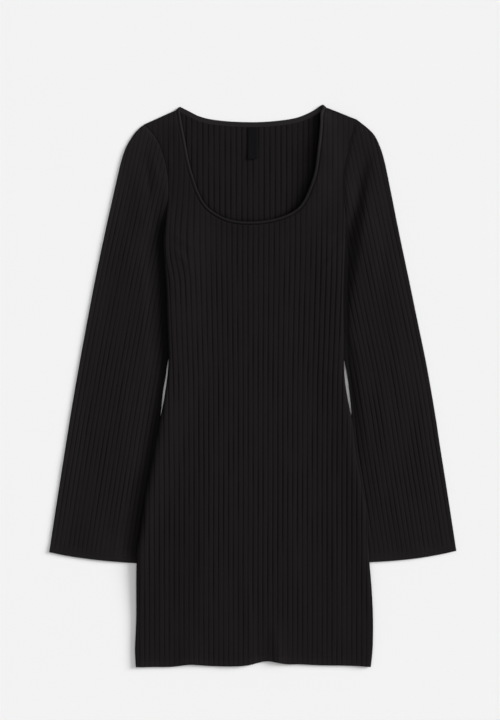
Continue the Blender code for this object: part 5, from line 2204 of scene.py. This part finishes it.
@dataclass
class Studio:
    """The floor, the lights and the camera straight above."""

    floor_size: float = 8.0
    floor_drop: float = 0.15
    eye: tuple[float, float, float] = (-0.004, 0.040, 2.55)
    lens: float = 85.0
    sky: float = 0.28
    lamps: tuple[Lamp, ...] = (
        Lamp("key", 20.0, 23.5, 26.0, 3.99),
        Lamp("overhead", 90.0, 89.0, 84.0, 0.95),
    )

    def build(self) -> None:
        """Makes all of it."""
        bpy.ops.object.select_all(action="DESELECT")
        below = (0, 0, -self.floor_drop * MM)
        bpy.ops.mesh.primitive_plane_add(size=self.floor_size, location=below)
        floor = bpy.context.active_object
        floor.name = "floor"
        floor.data.materials.append(Paper().material())
        for lamp in self.lamps:
            lamp.build()
        world = bpy.data.worlds.new("studio")
        world.use_nodes = True
        background = world.node_tree.nodes["Background"]
        background.inputs["Strength"].default_value = self.sky
        background.inputs["Color"].default_value = (1, 1, 1, 1)
        bpy.context.scene.world = world
        bpy.context.scene.view_settings.view_transform = "Standard"
        eye = bpy.data.cameras.new("eye")
        eye.lens = self.lens
        camera = bpy.data.objects.new("eye", eye)
        camera.location = self.eye
        bpy.context.scene.collection.objects.link(camera)
        bpy.context.scene.camera = camera


# Putting it together.


def dress(piece: bpy.types.Object, material: bpy.types.Material) -> None:
    """Gives a piece its material and its place in the frame.

    Args:
        piece: The piece.
        material: Its only material.
    """
    piece.data.materials.clear()
    piece.data.materials.append(material)
    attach(piece, "root")
    log.info("%s: %d faces", piece.name, len(piece.data.polygons))


def cut(outline: Outline) -> tuple[tuple[float, float], float]:
    """The cut of one layer.

    Args:
        outline: The layer's edge.

    Returns:
        The width and length of the box round it, and its area, in metres.
    """
    across = [point.x for point in outline.points]
    along = [point.y for point in outline.points]
    size = ((max(across) - min(across)) * MM, (max(along) - min(along)) * MM)
    return size, loop_area(outline.points) * MM * MM


def build_body(knit: bpy.types.Material, thread: bpy.types.Material) -> BodyForm:
    """Makes both panels and the hem's stitches.

    Args:
        knit: The cloth's material.
        thread: The stitches' material.

    Returns:
        The form that the panels share.
    """
    form = BodyForm()
    back = BackPanel(form).build()
    front_panel = FrontPanel(form)
    front = front_panel.build()
    for piece in (back, front):
        dress(piece, knit)
    stitches = Seamwork("hem_stitches")
    hem = form.front_edge.stretches[0]
    for row in form.turning.rows:
        stitches.row(shifted(hem, -row)[1:-1], front_panel.outside)
    hem_stitches = stitches.build()
    dress(hem_stitches, thread)
    for piece, outline, under in (
        (front, form.front_edge, ["back_cloth"]),
        (back, form.back_edge, ["floor", "sleeve_left_cloth", "sleeve_right_cloth"]),
    ):
        flat, area = cut(outline)
        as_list(under)
    return form


def build_sleeves(form: BodyForm, knit: bpy.types.Material, thread: bpy.types.Material) -> None:
    """Makes both sleeves and the cuffs' stitches.

    Args:
        form: The form of the body, which lies on them.
        knit: The cloth's material.
        thread: The stitches' material.
    """
    for sleeve in (LeftSleeve(form=form), RightSleeve(form=form)):
        piece = sleeve.build()
        dress(piece, knit)
        stitches = Seamwork(sleeve.name.replace("sleeve", "cuff_stitches"))
        for row in sleeve.turning.rows:
            stitches.row(shifted(sleeve.cuff, -row)[1:-1], sleeve.outside, sleeve.side)
        trim = stitches.build()
        dress(trim, thread)
        (width, length), area = cut(sleeve.outline)
        flat = (2 * width, length)
        2 * area


def build_neck(form: BodyForm, thread: bpy.types.Material) -> None:
    """Makes the binding, its stitches and the bare label.

    Args:
        form: The form of the body, whose neck edges are bound.
        thread: The stitches' material.
    """
    band = NeckBand(form)
    binding = band.build()
    dress(binding, Binding().material())
    stitches = Seamwork("binding_stitches", pitch=3.4)
    width, thick = band.front_size
    line = shifted(spaced(form.scoop[::-1], 4), -(form.gap + 0.17 * width))[2:-2]
    stitches.row(line, lambda x, y: band.front_base(x, y) + 0.74 * thick)
    trim = stitches.build()
    dress(trim, thread)
    length = band.travelled * MM
    0.0068 * length
    label = Label()
    piece = label.build()
    dress(piece, Satin().material())


def main() -> None:
    """Builds the studio and every piece of the dress."""
    logging.basicConfig(level=logging.INFO, format="%(name)s: %(message)s")
    Studio().build()
    knit = RibKnit().material()
    thread = Thread().material()
    form = build_body(knit, thread)
    build_sleeves(form, knit, thread)
    build_neck(form, thread)


if __name__ == "__main__":
    main()
